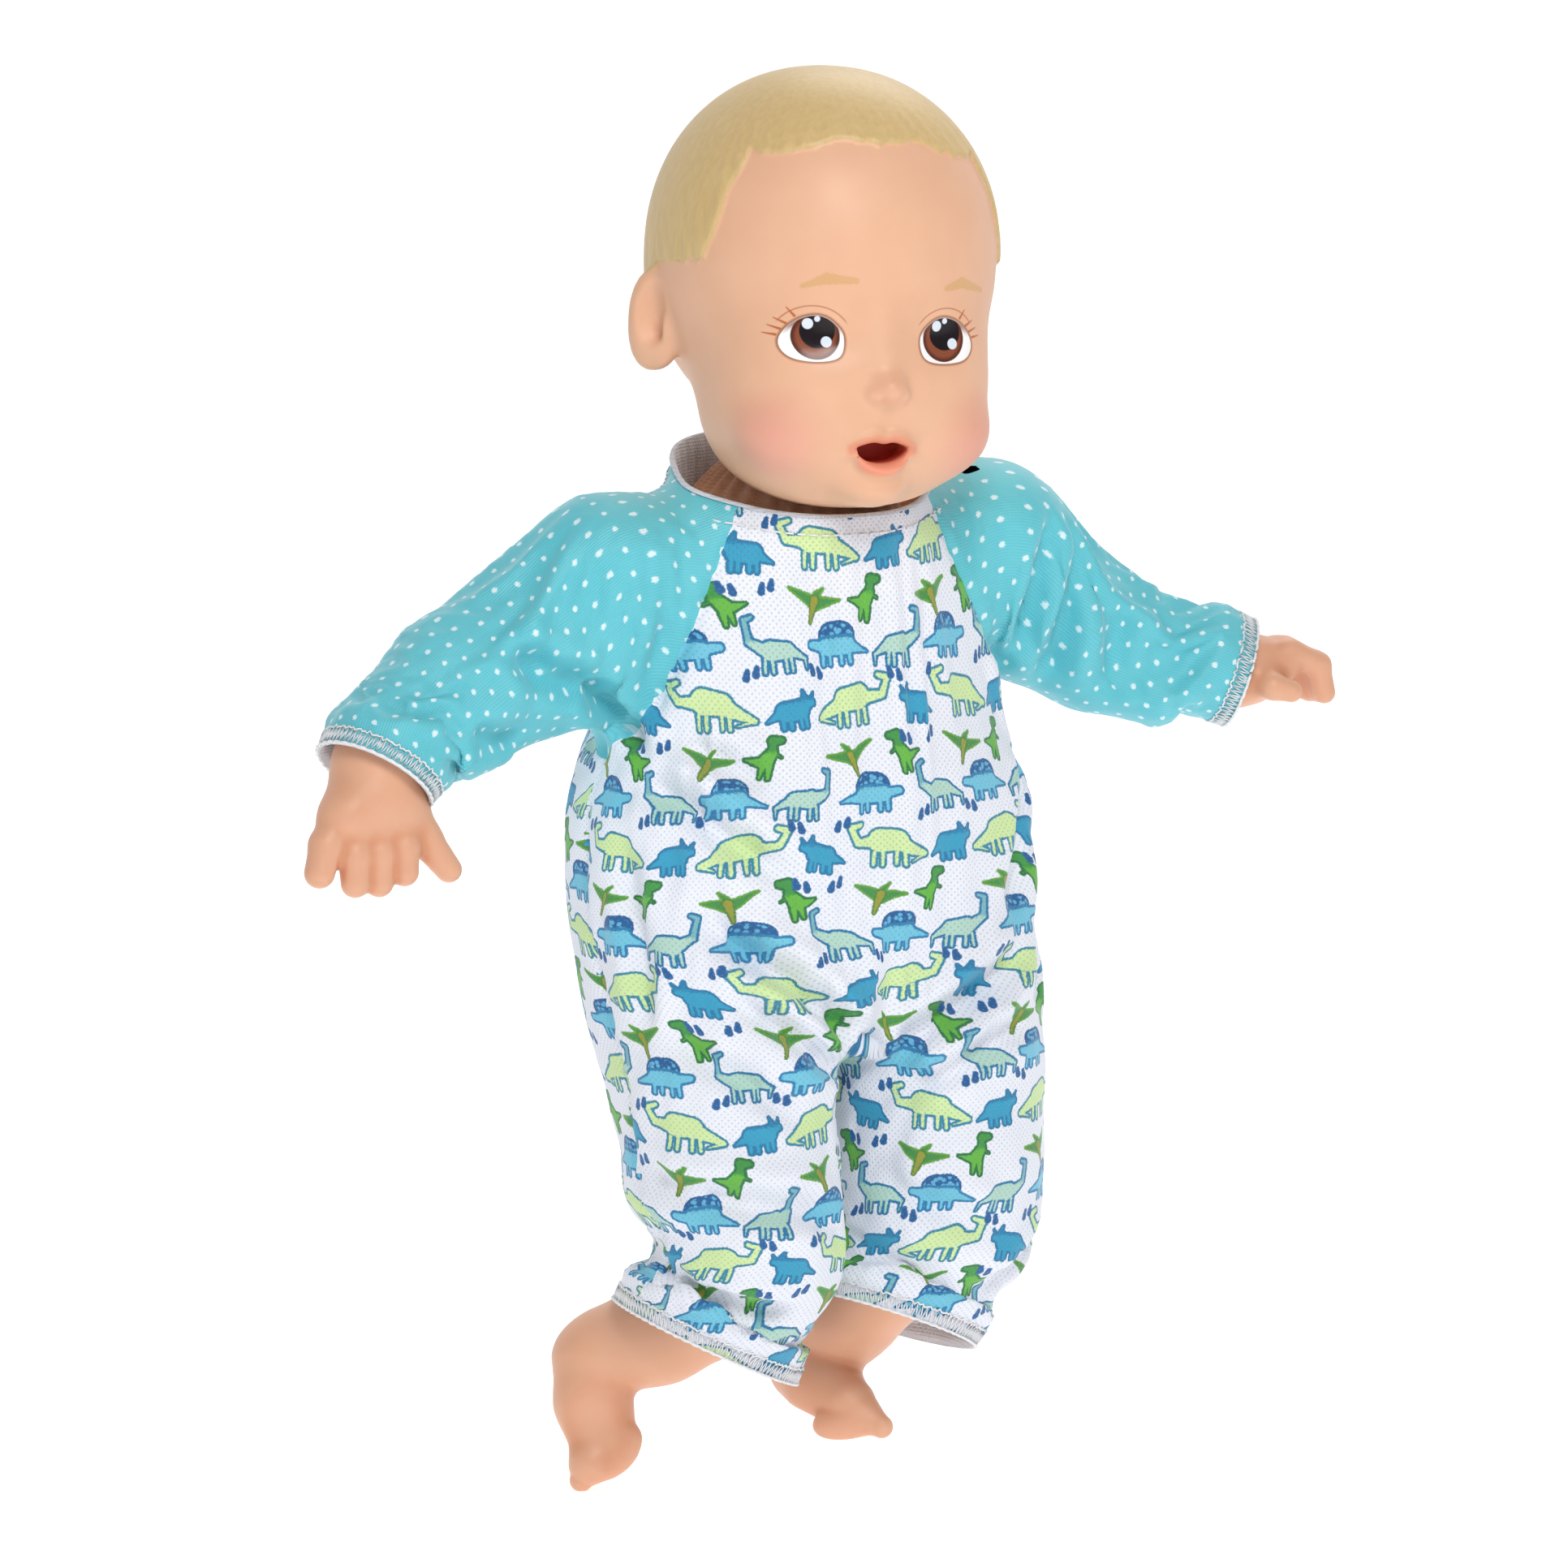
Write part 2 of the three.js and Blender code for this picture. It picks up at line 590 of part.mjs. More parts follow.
function addLeg(side, { root, bend, end, heel, ball, toes, trouser, hem }) {
  const way = direction(root, bend);
  const clothEnd = along(root, bend, LEG_CLOTH_LENGTH);
  add(`thigh_${side}`, cut(bone(root, bend, THIGH_RADIUS), beyond(clothEnd, way)), clothSkin);

  const vinylStart = along(root, bend, LEG_CLOTH_LENGTH + GAP);
  const digits = toes.map((toe, i) => bone(ball, toe, 5, i === 0 ? 3.4 : 2.8, 8));
  const limb = join(
    bone(root, bend, THIGH_RADIUS, 13),
    bone(bend, end, 13, 11.5),
    bone(end, heel, 11, 10.5),
    bone(heel, ball, 10.5, 8.5),
    ...digits,
  );
  const grooveStart = LEG_CLOTH_LENGTH + GAP + 2.5;
  const grooveRadius = THIGH_RADIUS - 1 - LIMB_TIE_DEPTH;
  const vinyl = cut(limb, beyond(vinylStart, opposite(way)));
  add(`leg_${side}`, grooved(vinyl, root, bend, grooveStart, grooveRadius), skin);
  addTie(`leg_tie_${side}`, root, bend, grooveStart, grooveRadius);

  const [kneeCentre, hemCentre] = trouser;
  const trouserForm = (inset) =>
    join(
      bone(root, kneeCentre, TROUSER_RADIUS - inset, 26.5 - inset, 16),
      bone(kneeCentre, hemCentre, 26.5 - inset, 24.5 - inset, 16),
      bone(hemCentre, along(hemCentre, kneeCentre, -20), 24.5 - inset, 24.5 - inset, 16),
    );
  const tube = cut(trouserForm(0), trouserForm(KNIT_WALL));
  const top = beyond([0, 0, HIP_AXIS_HEIGHT + 14], [0, 0, 1]);
  const openTube = clearOfTorso(cut(tube, top), root);
  const hemTop = vector(hem.point).addScaledVector(vector(hem.normal).normalize(), OVERLOCK_WIDTH).toArray();
  const hemJoin = along(hemTop, hem.point, GAP);
  const downward = opposite(hem.normal);
  add(`trouser_${side}`, cut(openTube, beyond(hemTop, downward)), knit);
  add(`hem_${side}`, cut(openTube, beyond(hem.point, downward), beyond(hemJoin, hem.normal)), thread);
}

// ---- Romper body ----
const ROMPER_LEVELS = [
  [WAIST_HEIGHT, 57, 40],
  [178, 57, 41],
  [190, 51, 40],
  [205, 44, 37],
  [220, 39, 32],
  [230, 33, 28],
  [COLLAR_HEIGHT, 27, 25],
];
const BACK_PATCH = { halfWidth: 16, low: 190, high: 208, face: 40 };

// The room a sleeve sweeps as its arm swings about the shoulder.
function sleeveSweep(root, sign) {
  const clearance = SLEEVE_RADIUS + 1;
  const tilts = [-46, -24, 0, 25];
  const rods = tilts.map((degrees) => {
    const angle = THREE.MathUtils.degToRad(degrees);
    const tip = [root[0] + sign * 90 * Math.cos(angle), root[1], root[2] + 90 * Math.sin(angle)];
    return bone(root, tip, clearance, clearance, 10);
  });
  return join(sphere(root, 29.5, 14), ...rods);
}

function addRomper() {
  const outer = stack(ROMPER_LEVELS);
  const inner = stack(ROMPER_LEVELS, -KNIT_WALL);
  const [waist] = ROMPER_LEVELS;
  const collar = ROMPER_LEVELS[ROMPER_LEVELS.length - 1];
  const ends = [beyond([0, 0, waist[0] + GAP], [0, 0, -1]), beyond([0, 0, collar[0] - GAP], [0, 0, 1])];
  const endBore = ([z, halfWidth, halfDepth]) =>
    stack([[z - 3, halfWidth, halfDepth], [z + 3, halfWidth, halfDepth]], -KNIT_WALL);
  const longInner = join(inner, endBore(waist), endBore(collar));
  const sweeps = [sleeveSweep(ARMS.right.root, -1), sleeveSweep(ARMS.left.root, 1)];
  const tube = cut(outer, longInner, ...ends, ...sweeps);
  const { halfWidth, low, high, face } = BACK_PATCH;
  const opening = box([-halfWidth - 1, 20, low - 1], [halfWidth + 1, FAR, high + 1]);
  add("romper_front", common(tube, frontHalf), knit);
  add("romper_back", cut(common(tube, rearHalf), opening), knit);
  add("back_closure_loop", box([-halfWidth, face - 1.4, low], [halfWidth, face, high]), knit);
  add("back_closure_hook", box([-halfWidth, face - 3.2, low], [halfWidth, face - 1.8, high]), nylon);

  const [bandLow, bandHalfWidth, bandHalfDepth] = collar;
  const bandTop = bandLow + OVERLOCK_WIDTH;
  const bandLevels = [[bandLow, bandHalfWidth, bandHalfDepth], [bandTop, bandHalfWidth - 3, bandHalfDepth - 2]];
  const boreLevels = [
    [bandLow - 1, bandHalfWidth + 0.7, bandHalfDepth + 0.5],
    [bandTop + 1, bandHalfWidth - 3.7, bandHalfDepth - 2.5],
  ];
  add("neck_binding", cut(stack(bandLevels), stack(boreLevels, -KNIT_WALL)), thread);
}

addClothBody();
addSoundModule();
addTummyButton();
addPowerSwitch();
addNeckPlug();
addHead();
Object.entries(ARMS).forEach(([side, arm]) => addArm(side, arm));
Object.entries(LEGS).forEach(([side, leg]) => addLeg(side, leg));
addRomper();

// The origin is the middle of the bounding box's underside.
const bounds = new THREE.Box3().setFromObject(toy, true);
const middle = bounds.getCenter(new THREE.Vector3());
toy.position.set(-middle.x, -middle.y, -bounds.min.z);

const doll = new THREE.Group();
doll.add(toy);

export default doll;
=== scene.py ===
"""Looks of the interactive baby doll: vinyl head and limbs, knit romper, stitching, light and camera."""
import json
import math

import bmesh
import bpy
import numpy as np
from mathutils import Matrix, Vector
from mathutils.bvhtree import BVHTree


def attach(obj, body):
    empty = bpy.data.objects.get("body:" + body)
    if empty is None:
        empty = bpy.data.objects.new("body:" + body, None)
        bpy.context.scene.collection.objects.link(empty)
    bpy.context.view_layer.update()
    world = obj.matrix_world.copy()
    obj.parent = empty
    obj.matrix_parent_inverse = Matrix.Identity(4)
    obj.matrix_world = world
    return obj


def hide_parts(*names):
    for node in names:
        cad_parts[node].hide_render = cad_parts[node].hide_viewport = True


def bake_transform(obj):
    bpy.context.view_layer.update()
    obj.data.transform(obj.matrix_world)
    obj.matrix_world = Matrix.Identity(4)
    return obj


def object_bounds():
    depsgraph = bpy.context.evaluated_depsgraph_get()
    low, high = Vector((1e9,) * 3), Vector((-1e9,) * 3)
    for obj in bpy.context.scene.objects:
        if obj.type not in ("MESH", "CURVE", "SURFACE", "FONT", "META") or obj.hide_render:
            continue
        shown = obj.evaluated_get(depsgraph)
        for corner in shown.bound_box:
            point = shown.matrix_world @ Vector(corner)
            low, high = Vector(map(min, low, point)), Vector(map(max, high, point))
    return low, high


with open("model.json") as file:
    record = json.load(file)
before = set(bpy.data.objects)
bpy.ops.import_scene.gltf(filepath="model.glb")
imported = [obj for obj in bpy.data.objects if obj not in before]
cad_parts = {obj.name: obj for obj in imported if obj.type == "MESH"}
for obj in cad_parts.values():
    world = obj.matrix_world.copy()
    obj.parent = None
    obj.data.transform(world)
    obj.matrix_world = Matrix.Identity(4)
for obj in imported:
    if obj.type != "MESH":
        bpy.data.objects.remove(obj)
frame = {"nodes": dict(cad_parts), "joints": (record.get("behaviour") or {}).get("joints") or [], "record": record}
CAD_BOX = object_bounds()

# ---- The doll's own frame: millimetres, midway between the shoulders, which stand 236 mm high ----
MM = 0.001
SHOULDER_HEIGHT = 236
PINS = {j["name"]: np.array(j["pos_m"]) for j in frame["joints"] if "pos_m" in j}
ORIGIN = (PINS["left_shoulder"] + PINS["right_shoulder"]) / 2 - np.array([0, 0, SHOULDER_HEIGHT * MM])


def to_frame(points):
    return np.asarray(points, float) * MM + ORIGIN


def to_doll(points):
    return (np.asarray(points, float) - ORIGIN) / MM


# ---- Signed distance fields; points are rows of an (n, 3) array, in millimetres ----
def vec(*values):
    return np.array(values, float)


def length(p):
    return np.sqrt((p * p).sum(-1))


def ellipsoid(p, centre, radii, power=2.0):
    radii = vec(*radii)
    q = np.abs(p - vec(*centre)) / radii
    reach = np.maximum((q**power).sum(-1), 1e-12) ** (1 / power)
    slope = length((q / reach[:, None]) ** (power - 1) / radii)
    return (reach - 1) / slope


def bone(p, a, b, radius_a, radius_b):
    a, b = vec(*a), vec(*b)
    along = b - a
    t = np.clip((p - a) @ along / (along @ along), 0, 1)
    return length(p - a - t[:, None] * along) - (radius_a + (radius_b - radius_a) * t)


def merge(a, b, soft):
    h = np.clip(0.5 + 0.5 * (b - a) / soft, 0, 1)
    return b + (a - b) * h - soft * h * (1 - h)


def carve(a, tool, soft):
    return -merge(-a, tool, soft)


def chain(p, stops, soft):
    """A limb along stops, each (x, y, z, radius)."""
    d = None
    for a, b in zip(stops, stops[1:]):
        part = bone(p, a[:3], b[:3], a[3], b[3])
        d = part if d is None else merge(d, part, soft)
    return d


def turn_z(p, degrees):
    c, s = math.cos(math.radians(degrees)), math.sin(math.radians(degrees))
    return np.stack([p[:, 0] * c - p[:, 1] * s, p[:, 0] * s + p[:, 1] * c, p[:, 2]], 1)


def turn_y(p, degrees):
    c, s = math.cos(math.radians(degrees)), math.sin(math.radians(degrees))
    return np.stack([p[:, 0] * c + p[:, 2] * s, p[:, 1], p[:, 2] * c - p[:, 0] * s], 1)


def smooth(low, high, value):
    t = np.clip((value - low) / (high - low), 0, 1)
    return t * t * (3 - 2 * t)


def bell(value, width):
    return np.exp(-((value / width) ** 2))


# ---- Surface nets: one point in each cell that the surface crosses, one quad for each crossed edge ----
def sample(field, low, high, step, coarse=4):
    counts = [int(math.ceil((h - l) / step)) + 1 for l, h in zip(low, high)]
    axes = [l + step * np.arange(n) for l, n in zip(low, counts)]
    rough_axes = [a[0] + step * coarse * np.arange(len(a) // coarse + 2) for a in axes]
    grid = np.stack(np.meshgrid(*rough_axes, indexing="ij"), -1)
    rough = field(grid.reshape(-1, 3)).reshape(grid.shape[:3])
    nearest = [(np.arange(n) + coarse // 2) // coarse for n in counts]
    values = rough[np.ix_(*nearest)]
    where = np.nonzero(np.abs(values) < step * (coarse * 0.9 + 2.5))
    values[where] = field(np.stack([axes[k][where[k]] for k in range(3)], 1))
    return values


def surface(field, low, high, step):
    v = sample(field, low, high, step)
    inside = v < 0
    cells = tuple(n - 1 for n in v.shape)
    offsets = [(i, j, k) for i in (0, 1) for j in (0, 1) for k in (0, 1)]
    count = sum(inside[i:i + cells[0], j:j + cells[1], k:k + cells[2]].astype(np.int8) for i, j, k in offsets)
    crossed = (count > 0) & (count < 8)
    number = np.full(cells, -1)
    number[crossed] = np.arange(crossed.sum())
    base = np.argwhere(crossed)
    total, hits = np.zeros((len(base), 3)), np.zeros(len(base))
    for axis in range(3):
        for start in [o for o in offsets if not o[axis]]:
            end = [o + (k == axis) for k, o in enumerate(start)]
            a = v[tuple((base + start).T)]
            b = v[tuple((base + end).T)]
            hit = (a < 0) != (b < 0)
            place = np.tile(np.array(start, float), (len(base), 1))
            place[:, axis] += np.where(hit, a / np.where(hit, a - b, 1), 0)
            total += place * hit[:, None]
            hits += hit
    points = np.array(low) + step * (base + total / hits[:, None])
    quads = []
    for axis in range(3):
        others = [(axis + 1) % 3, (axis + 2) % 3]
        low_side, high_side = [slice(1, -1)] * 3, [slice(1, -1)] * 3
        low_side[axis], high_side[axis] = slice(0, -1), slice(1, None)
        a, b = inside[tuple(low_side)], inside[tuple(high_side)]
        for flag, order in ((a & ~b, 1), (~a & b, -1)):
            edge = np.argwhere(flag)
            edge[:, others] += 1
            ring = []
            for shift in ((-1, -1), (0, -1), (0, 0), (-1, 0)):
                cell = edge.copy()
                cell[:, others] += shift
                ring.append(number[tuple(cell.T)])
            quads.append(np.stack(ring[::order], 1))
    return points, np.concatenate(quads)


def slope_of(field, p, step=0.05):
    return np.stack([field(p + step * e) - field(p - step * e) for e in np.eye(3)], 1) / (2 * step)


def settle(field, p, rounds=3):
    """Moves points onto the field's surface."""
    for _ in range(rounds):
        g = slope_of(field, p)
        g /= np.maximum((g * g).sum(1), 0.05)[:, None]
        p = p - np.clip(field(p), -1, 1)[:, None] * g
    return p


# ---- Meshes ----
def new_object(name, points, faces, material):
    mesh = bpy.data.meshes.new(name)
    mesh.from_pydata(to_frame(points).tolist(), [], [list(map(int, f)) for f in faces])
    mesh.materials.append(material)
    mesh.polygons.foreach_set("use_smooth", np.ones(len(mesh.polygons), bool))
    mesh.update()
    made = bpy.data.objects.new(name, mesh)
    bpy.context.scene.collection.objects.link(made)
    return made


def keep_values(obj, name, values):
    """Stores a number or a vector at each point, for the materials to read."""
    kind = "FLOAT" if values.ndim == 1 else "FLOAT_VECTOR"
    slot_name = "value" if values.ndim == 1 else "vector"
    attribute = obj.data.attributes.new(name, kind, "POINT")
    attribute.data.foreach_set(slot_name, values.astype(np.float32).ravel())


def read(items, field, width=1, kind=float):
    """A number, or a row of width numbers, from each item of a mesh."""
    values = np.zeros(len(items) * width, kind)
    items.foreach_get(field, values)
    return values if width == 1 else values.reshape(-1, width)


def points_of(obj):
    return to_doll(read(obj.data.vertices, "co", 3))


# ---- Node graphs ----
class Value:
    """A node's output that adds, multiplies and compares like a number."""

    def __init__(self, graph, socket):
        self.graph, self.socket = graph, socket

    def __add__(self, other):
        return self.graph.math("ADD", self, other)

    def __radd__(self, other):
        return self.graph.math("ADD", other, self)

    def __sub__(self, other):
        return self.graph.math("SUBTRACT", self, other)

    def __rsub__(self, other):
        return self.graph.math("SUBTRACT", other, self)

    def __mul__(self, other):
        return self.graph.math("MULTIPLY", self, other)

    def __rmul__(self, other):
        return self.graph.math("MULTIPLY", other, self)

    def __truediv__(self, other):
        return self.graph.math("DIVIDE", self, other)

    def __neg__(self):
        return self.graph.math("MULTIPLY", self, -1)


def srgb(red, green, blue):
    """Linear colour of an 8-bit screen colour."""
    def linear(c):
        c /= 255
        return c / 12.92 if c <= 0.04045 else ((c + 0.055) / 1.055) ** 2.4
    return (linear(red), linear(green), linear(blue), 1)


class Graph:
    def __init__(self, name):
        self.material = bpy.data.materials.new(name)
        self.material.use_nodes = True
        self.tree = self.material.node_tree
        self.shader = self.tree.nodes["Principled BSDF"]
        self.output = self.tree.nodes["Material Output"]

    def node(self, kind, **settings):
        made = self.tree.nodes.new(kind)
        for key, value in settings.items():
            setattr(made, key, value)
        return made

    def feed(self, socket, value):
        if isinstance(value, Value):
            self.tree.links.new(value.socket, socket)
        else:
            socket.default_value = value

    def math(self, operation, *values, clamp=False):
        made = self.node("ShaderNodeMath", operation=operation, use_clamp=clamp)
        for socket, value in zip(made.inputs, values):
            self.feed(socket, value)
        return Value(self, made.outputs[0])

    def vector(self, operation, *values):
        made = self.node("ShaderNodeVectorMath", operation=operation)
        for socket, value in zip(made.inputs, values):
            self.feed(socket, value)
        scalar = operation in ("LENGTH", "DISTANCE", "DOT_PRODUCT")
        return Value(self, made.outputs["Value" if scalar else "Vector"])

    def split(self, value):
        made = self.node("ShaderNodeSeparateXYZ")
        self.feed(made.inputs[0], value)
        return [Value(self, out) for out in made.outputs]

    def join(self, x, y, z=0.0):
        made = self.node("ShaderNodeCombineXYZ")
        for socket, value in zip(made.inputs, (x, y, z)):
            self.feed(socket, value)
        return Value(self, made.outputs[0])

    def attribute(self, name, output="Fac"):
        return Value(self, self.node("ShaderNodeAttribute", attribute_name=name).outputs[output])

    def uv(self):
        return Value(self, self.node("ShaderNodeUVMap", uv_map="fabric").outputs[0])

    def object_place(self):
        return Value(self, self.node("ShaderNodeTexCoord").outputs["Object"])

    def below(self, value, edge=0.0, soft=0.1):
        """1 where value is under edge, 0 above it."""
        made = self.node("ShaderNodeMapRange", interpolation_type="SMOOTHSTEP")
        for socket, number in zip(made.inputs, (value, edge - soft, edge + soft, 1.0, 0.0)):
            self.feed(socket, number)
        return Value(self, made.outputs[0])

    def mix(self, share, first, second):
        made = self.node("ShaderNodeMix", data_type="RGBA")
        self.feed(made.inputs[0], share)
        self.feed(made.inputs[6], first)
        self.feed(made.inputs[7], second)
        return Value(self, made.outputs[2])

    def mix_number(self, share, first, second):
        return self.math("MULTIPLY_ADD", share, second - first, first)

    def noise(self, place, scale, detail=2.0):
        made = self.node("ShaderNodeTexNoise")
        self.feed(made.inputs["Vector"], place)
        made.inputs["Scale"].default_value = scale
        made.inputs["Detail"].default_value = detail
        return Value(self, made.outputs[0])

    def bump(self, height, distance, strength=1.0):
        made = self.node("ShaderNodeBump")
        made.inputs["Strength"].default_value = strength
        made.inputs["Distance"].default_value = distance
        self.feed(made.inputs["Height"], height)
        self.feed(self.shader.inputs["Normal"], Value(self, made.outputs[0]))

    def set(self, **inputs):
        for name, value in inputs.items():
            self.feed(self.shader.inputs[name.replace("_", " ")], value)
        return self


# ---- The head: a round skull and a fuller face, turned and tilted a little on the neck ----
HEAD_PLACE = vec(4.5, -5, 305.6)
HEAD_TURN = -9
HEAD_ROLL = 2
SKULL_RADII = (41.6, 45, 45.3)
EAR_PLACE = vec(41.4, 4, -16.5)
EAR_TURN = 46
MOUTH_Z = -43
MOUTH_HALF_WIDTH = 6.7
EYES = {"right": (-17.2, -16.6), "left": (15.6, -17.0)}
HAIR_RISE = 0.9
TEMPLE_ANGLE = 57
HEAD_REACH = (56, 60, 64)
HEAD_STEP = 0.85
# The hairline on the doll's right, as degrees round from the front and degrees above the skull's middle.
HAIRLINE = [
    (0, 39.6), (8, 40.8), (15, 41.4), (27, 37.6), (38, 35.2), (46, 35.4),
    (50.8, 38.2), (51.5, 31), (55, 24), (56.5, 16), (59.4, 8.4), (62.8, 1.2),
    (76, -0.6), (90, -1.7), (103, -8.6), (118, -22), (150, -34), (180, -37),
]


def into_head(p):
    return turn_y(turn_z(p - HEAD_PLACE, -HEAD_TURN), -HEAD_ROLL)


def mouth_outline(q):
    """Distance outside the open mouth's outline, seen from the front."""
    x, z = q[:, 0], q[:, 2] - MOUTH_Z
    wide = np.abs(x) / MOUTH_HALF_WIDTH
    top = 1.5 * (1 - wide**2.2) - 0.6 * bell(x, 1.7)
    low = -3.9 * np.sqrt(np.clip(1 - wide**2, 0, 1))
    return np.maximum(np.maximum(z - top, low - z), (np.abs(x) - MOUTH_HALF_WIDTH) * 0.9)


def hairline_distance(q):
    """Millimetres above the hairline, negative on bare skin."""
    round_angle = np.degrees(np.arctan2(q[:, 0], -q[:, 1]))
    rise = np.degrees(np.arctan2(q[:, 2], np.hypot(q[:, 0], q[:, 1])))
    side = np.abs(round_angle)
    teeth = np.abs((round_angle * 0.21 + 0.35 * np.sin(round_angle * 0.5)) % 1 - 0.5)
    front_teeth = np.abs((round_angle * 0.085 + 0.3 * np.sin(round_angle * 0.21)) % 1 - 0.5)
    fringe = 3.2 * front_teeth * smooth(-30, 25, round_angle) + 0.8 * front_teeth
    ragged = np.where(side > TEMPLE_ANGLE, 3.4 * teeth, fringe)
    line = vec(*zip(*HAIRLINE)).reshape(2, -1)
    limit = np.interp(side, line[0], line[1]) - ragged
    rough = np.stack([side * 0.8, rise + ragged], 1)
    stops = np.stack([line[0] * 0.8, line[1]], 1)
    nearest = np.full(len(q), 1e9)
    for a, b in zip(stops, stops[1:]):
        t = np.clip((rough - a) @ (b - a) / ((b - a) @ (b - a)), 0, 1)
        nearest = np.minimum(nearest, length(rough - a - t[:, None] * (b - a)))
    return np.sign(rise - limit) * nearest * math.radians(SKULL_RADII[1])


def skull(q):
    m = np.stack([np.abs(q[:, 0]), q[:, 1], q[:, 2]], 1)
    d = ellipsoid(m, (0, 0, 0), SKULL_RADII, 2.12)
    return merge(d, ellipsoid(m, (0, -16.5, -29), (35, 30, 31), 2.4), 6), m


def add_features(d, m):
    d = merge(d, ellipsoid(m, (19, -31, -40), (13, 12, 11)), 4)
    d = merge(d, ellipsoid(m, (0, -37, -53), (8, 7.5, 5)), 5)
    d = carve(d, ellipsoid(m, (17, -52.4, -16.5), (12, 10, 8.5)), 4)
    d = merge(d, bone(m, (0, -41.5, -12), (0, -45, -26), 1.5, 3.0), 5)
    d = merge(d, ellipsoid(m, (0, -47.2, -28.6), (3.6, 4.4, 3.2)), 3)
    d = merge(d, ellipsoid(m, (3.3, -45.8, -30.2), (2.4, 3.0, 2.1)), 1.6)
    return carve(d, ellipsoid(m, (2.3, -49.2, -32.4), (1.1, 1.6, 0.9)), 0.8)


def add_ears(d, m):
    out = vec(math.cos(math.radians(EAR_TURN)), math.sin(math.radians(EAR_TURN)), 0)
    facing = vec(out[1], -out[0], 0)
    r = m - EAR_PLACE
    e = np.stack([r @ out, r @ facing, r[:, 2] + 0.12 * (r @ out)], 1)
    lobe = ellipsoid(e, (-0.5, 0, 0.5), (7.4, 3.3, 12.6), 2.3)
    lobe = carve(lobe, ellipsoid(e, (-0.8, 3.6, 1.6), (4.4, 3.2, 8.0)), 1.4)
    lobe = merge(lobe, ellipsoid(e, (-4.2, 1.6, -1.5), (1.6, 2.0, 3.2)), 1.5)
    lobe = carve(lobe, ellipsoid(e, (-1.6, 2.2, -1.6), (1.8, 3.2, 3.2)), 1.2)
    return merge(d, lobe, 2.2)


def add_mouth(d, q):
    ring = mouth_outline(q)
    z = q[:, 2] - MOUTH_Z
    front = smooth(-34, -40, q[:, 1])
    corner = 1 - 0.75 * smooth(4, 9.5, np.abs(q[:, 0]))
    thick = np.where(z < -1, 1.0, 0.8)
    d = d - 2.3 * thick * corner * bell(ring - 1.5, 1.55) * front
    d = d + 0.5 * bell(z + 8.6, 1.6) * bell(q[:, 0], 6) * front
    d = d + 0.3 * bell(q[:, 0], 1.3) * smooth(3, 5, z) * smooth(10, 8, z) * front
    d = d + 0.7 * bell(np.abs(q[:, 0]) - 9.8, 1.5) * bell(z - 0.6, 1.5) * front
    cavity = np.maximum(ring, q[:, 1] + 35)
    return carve(d, cavity, 0.7)


def add_hair(d, q):
    above = hairline_distance(q)
    angle = np.arctan2(q[:, 0], -q[:, 1])
    strands = np.sin(angle * 46 + q[:, 2] * 0.35 + 2.2 * np.sin(q[:, 2] * 0.16 + angle * 5))
    fade = smooth(0, 1.5, above) * bell(above, 9)
    return d - HAIR_RISE * smooth(-0.35, 0.45, above) - 0.16 * strands * fade


def head_field(p):
    q = into_head(p)
    d, m = skull(q)
    d = add_features(d, m)
    d = add_hair(d, q)
    d = add_ears(d, m)
    d = add_mouth(d, q)
    neck = to_doll(PINS["head_nod"])
    room = np.minimum(length(p - neck) - 19.5, bone(p, neck, neck - vec(0, 0, 40), 15.5, 15.5))
    return carve(d, room, 1.5)


def make_head(material):
    reach = vec(*HEAD_REACH)
    points, faces = surface(head_field, HEAD_PLACE - reach, HEAD_PLACE + reach, HEAD_STEP)
    points = settle(head_field, points, 2)
    head = new_object("vinyl_head", points, faces, material)
    q = into_head(points)
    keep_values(head, "place", q)
    keep_values(head, "hair", hairline_distance(q))
    keep_values(head, "lips", mouth_outline(q))
    keep_values(head, "white", eye_white_distance(q))
    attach(head, "head")
    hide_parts("head_shell", "mouth_cup")
    return head


# ---- Vinyl limbs: (x, y, z, radius) stops in the doll's frame ----
HANDS = {
    "right": {
        "wrist": [(-108, -1, 196, 10.4), (-117.5, -4, 188, 10.8), (-120.5, -6, 182, 10.6)],
        "palm": [(-128.5, -8.5, 177), (-115.5, -8.5, 178), 7.0],
        "fingers": [
            [(-130, -8.5, 177, 4.6), (-135, -10.5, 171, 4.0), (-137.6, -12, 164.6, 3.7)],
            [(-126, -9.5, 175, 4.2), (-128.3, -12, 168, 3.8), (-128.6, -13, 161.6, 3.5)],
            [(-121, -9.5, 174.5, 4.2), (-121.9, -12, 168, 3.8), (-122.2, -13, 161.3, 3.5)],
            [(-115.8, -9.5, 175, 4.2), (-115.2, -12, 169, 3.8), (-115.4, -13, 163.4, 3.5)],
            [(-113, -7, 180, 5.6), (-108, -9, 170.5, 4.2), (-102.9, -12, 162.9, 3.2)],
        ],
    },
    "left": {
        "wrist": [(112, -8, 200, 11), (121, -12, 197, 9), (125, -13, 197, 8.6)],
        "palm": [(130, -9.5, 198.5), (131, -17, 198.5), 5.2],
        "fingers": [
            [(134, -8, 200.5, 3.2), (140.5, -8.5, 197, 2.9), (141.5, -9, 190.8, 2.7)],
            [(134, -11.5, 201.5, 3.3), (141.5, -12.5, 197.6, 3.0), (142.7, -13, 190.4, 2.8)],
            [(134, -15.3, 201.8, 3.3), (142, -16.5, 197.8, 3.0), (143.2, -17, 190.6, 2.8)],
            [(133, -19, 201.5, 3.3), (140.6, -20.3, 197.8, 3.0), (142, -21, 190.8, 2.8)],
            [(124, -18.5, 195.5, 4.2), (124.5, -24, 193.8, 3.2), (128.5, -26.5, 192.6, 2.8)],
        ],
    },
}
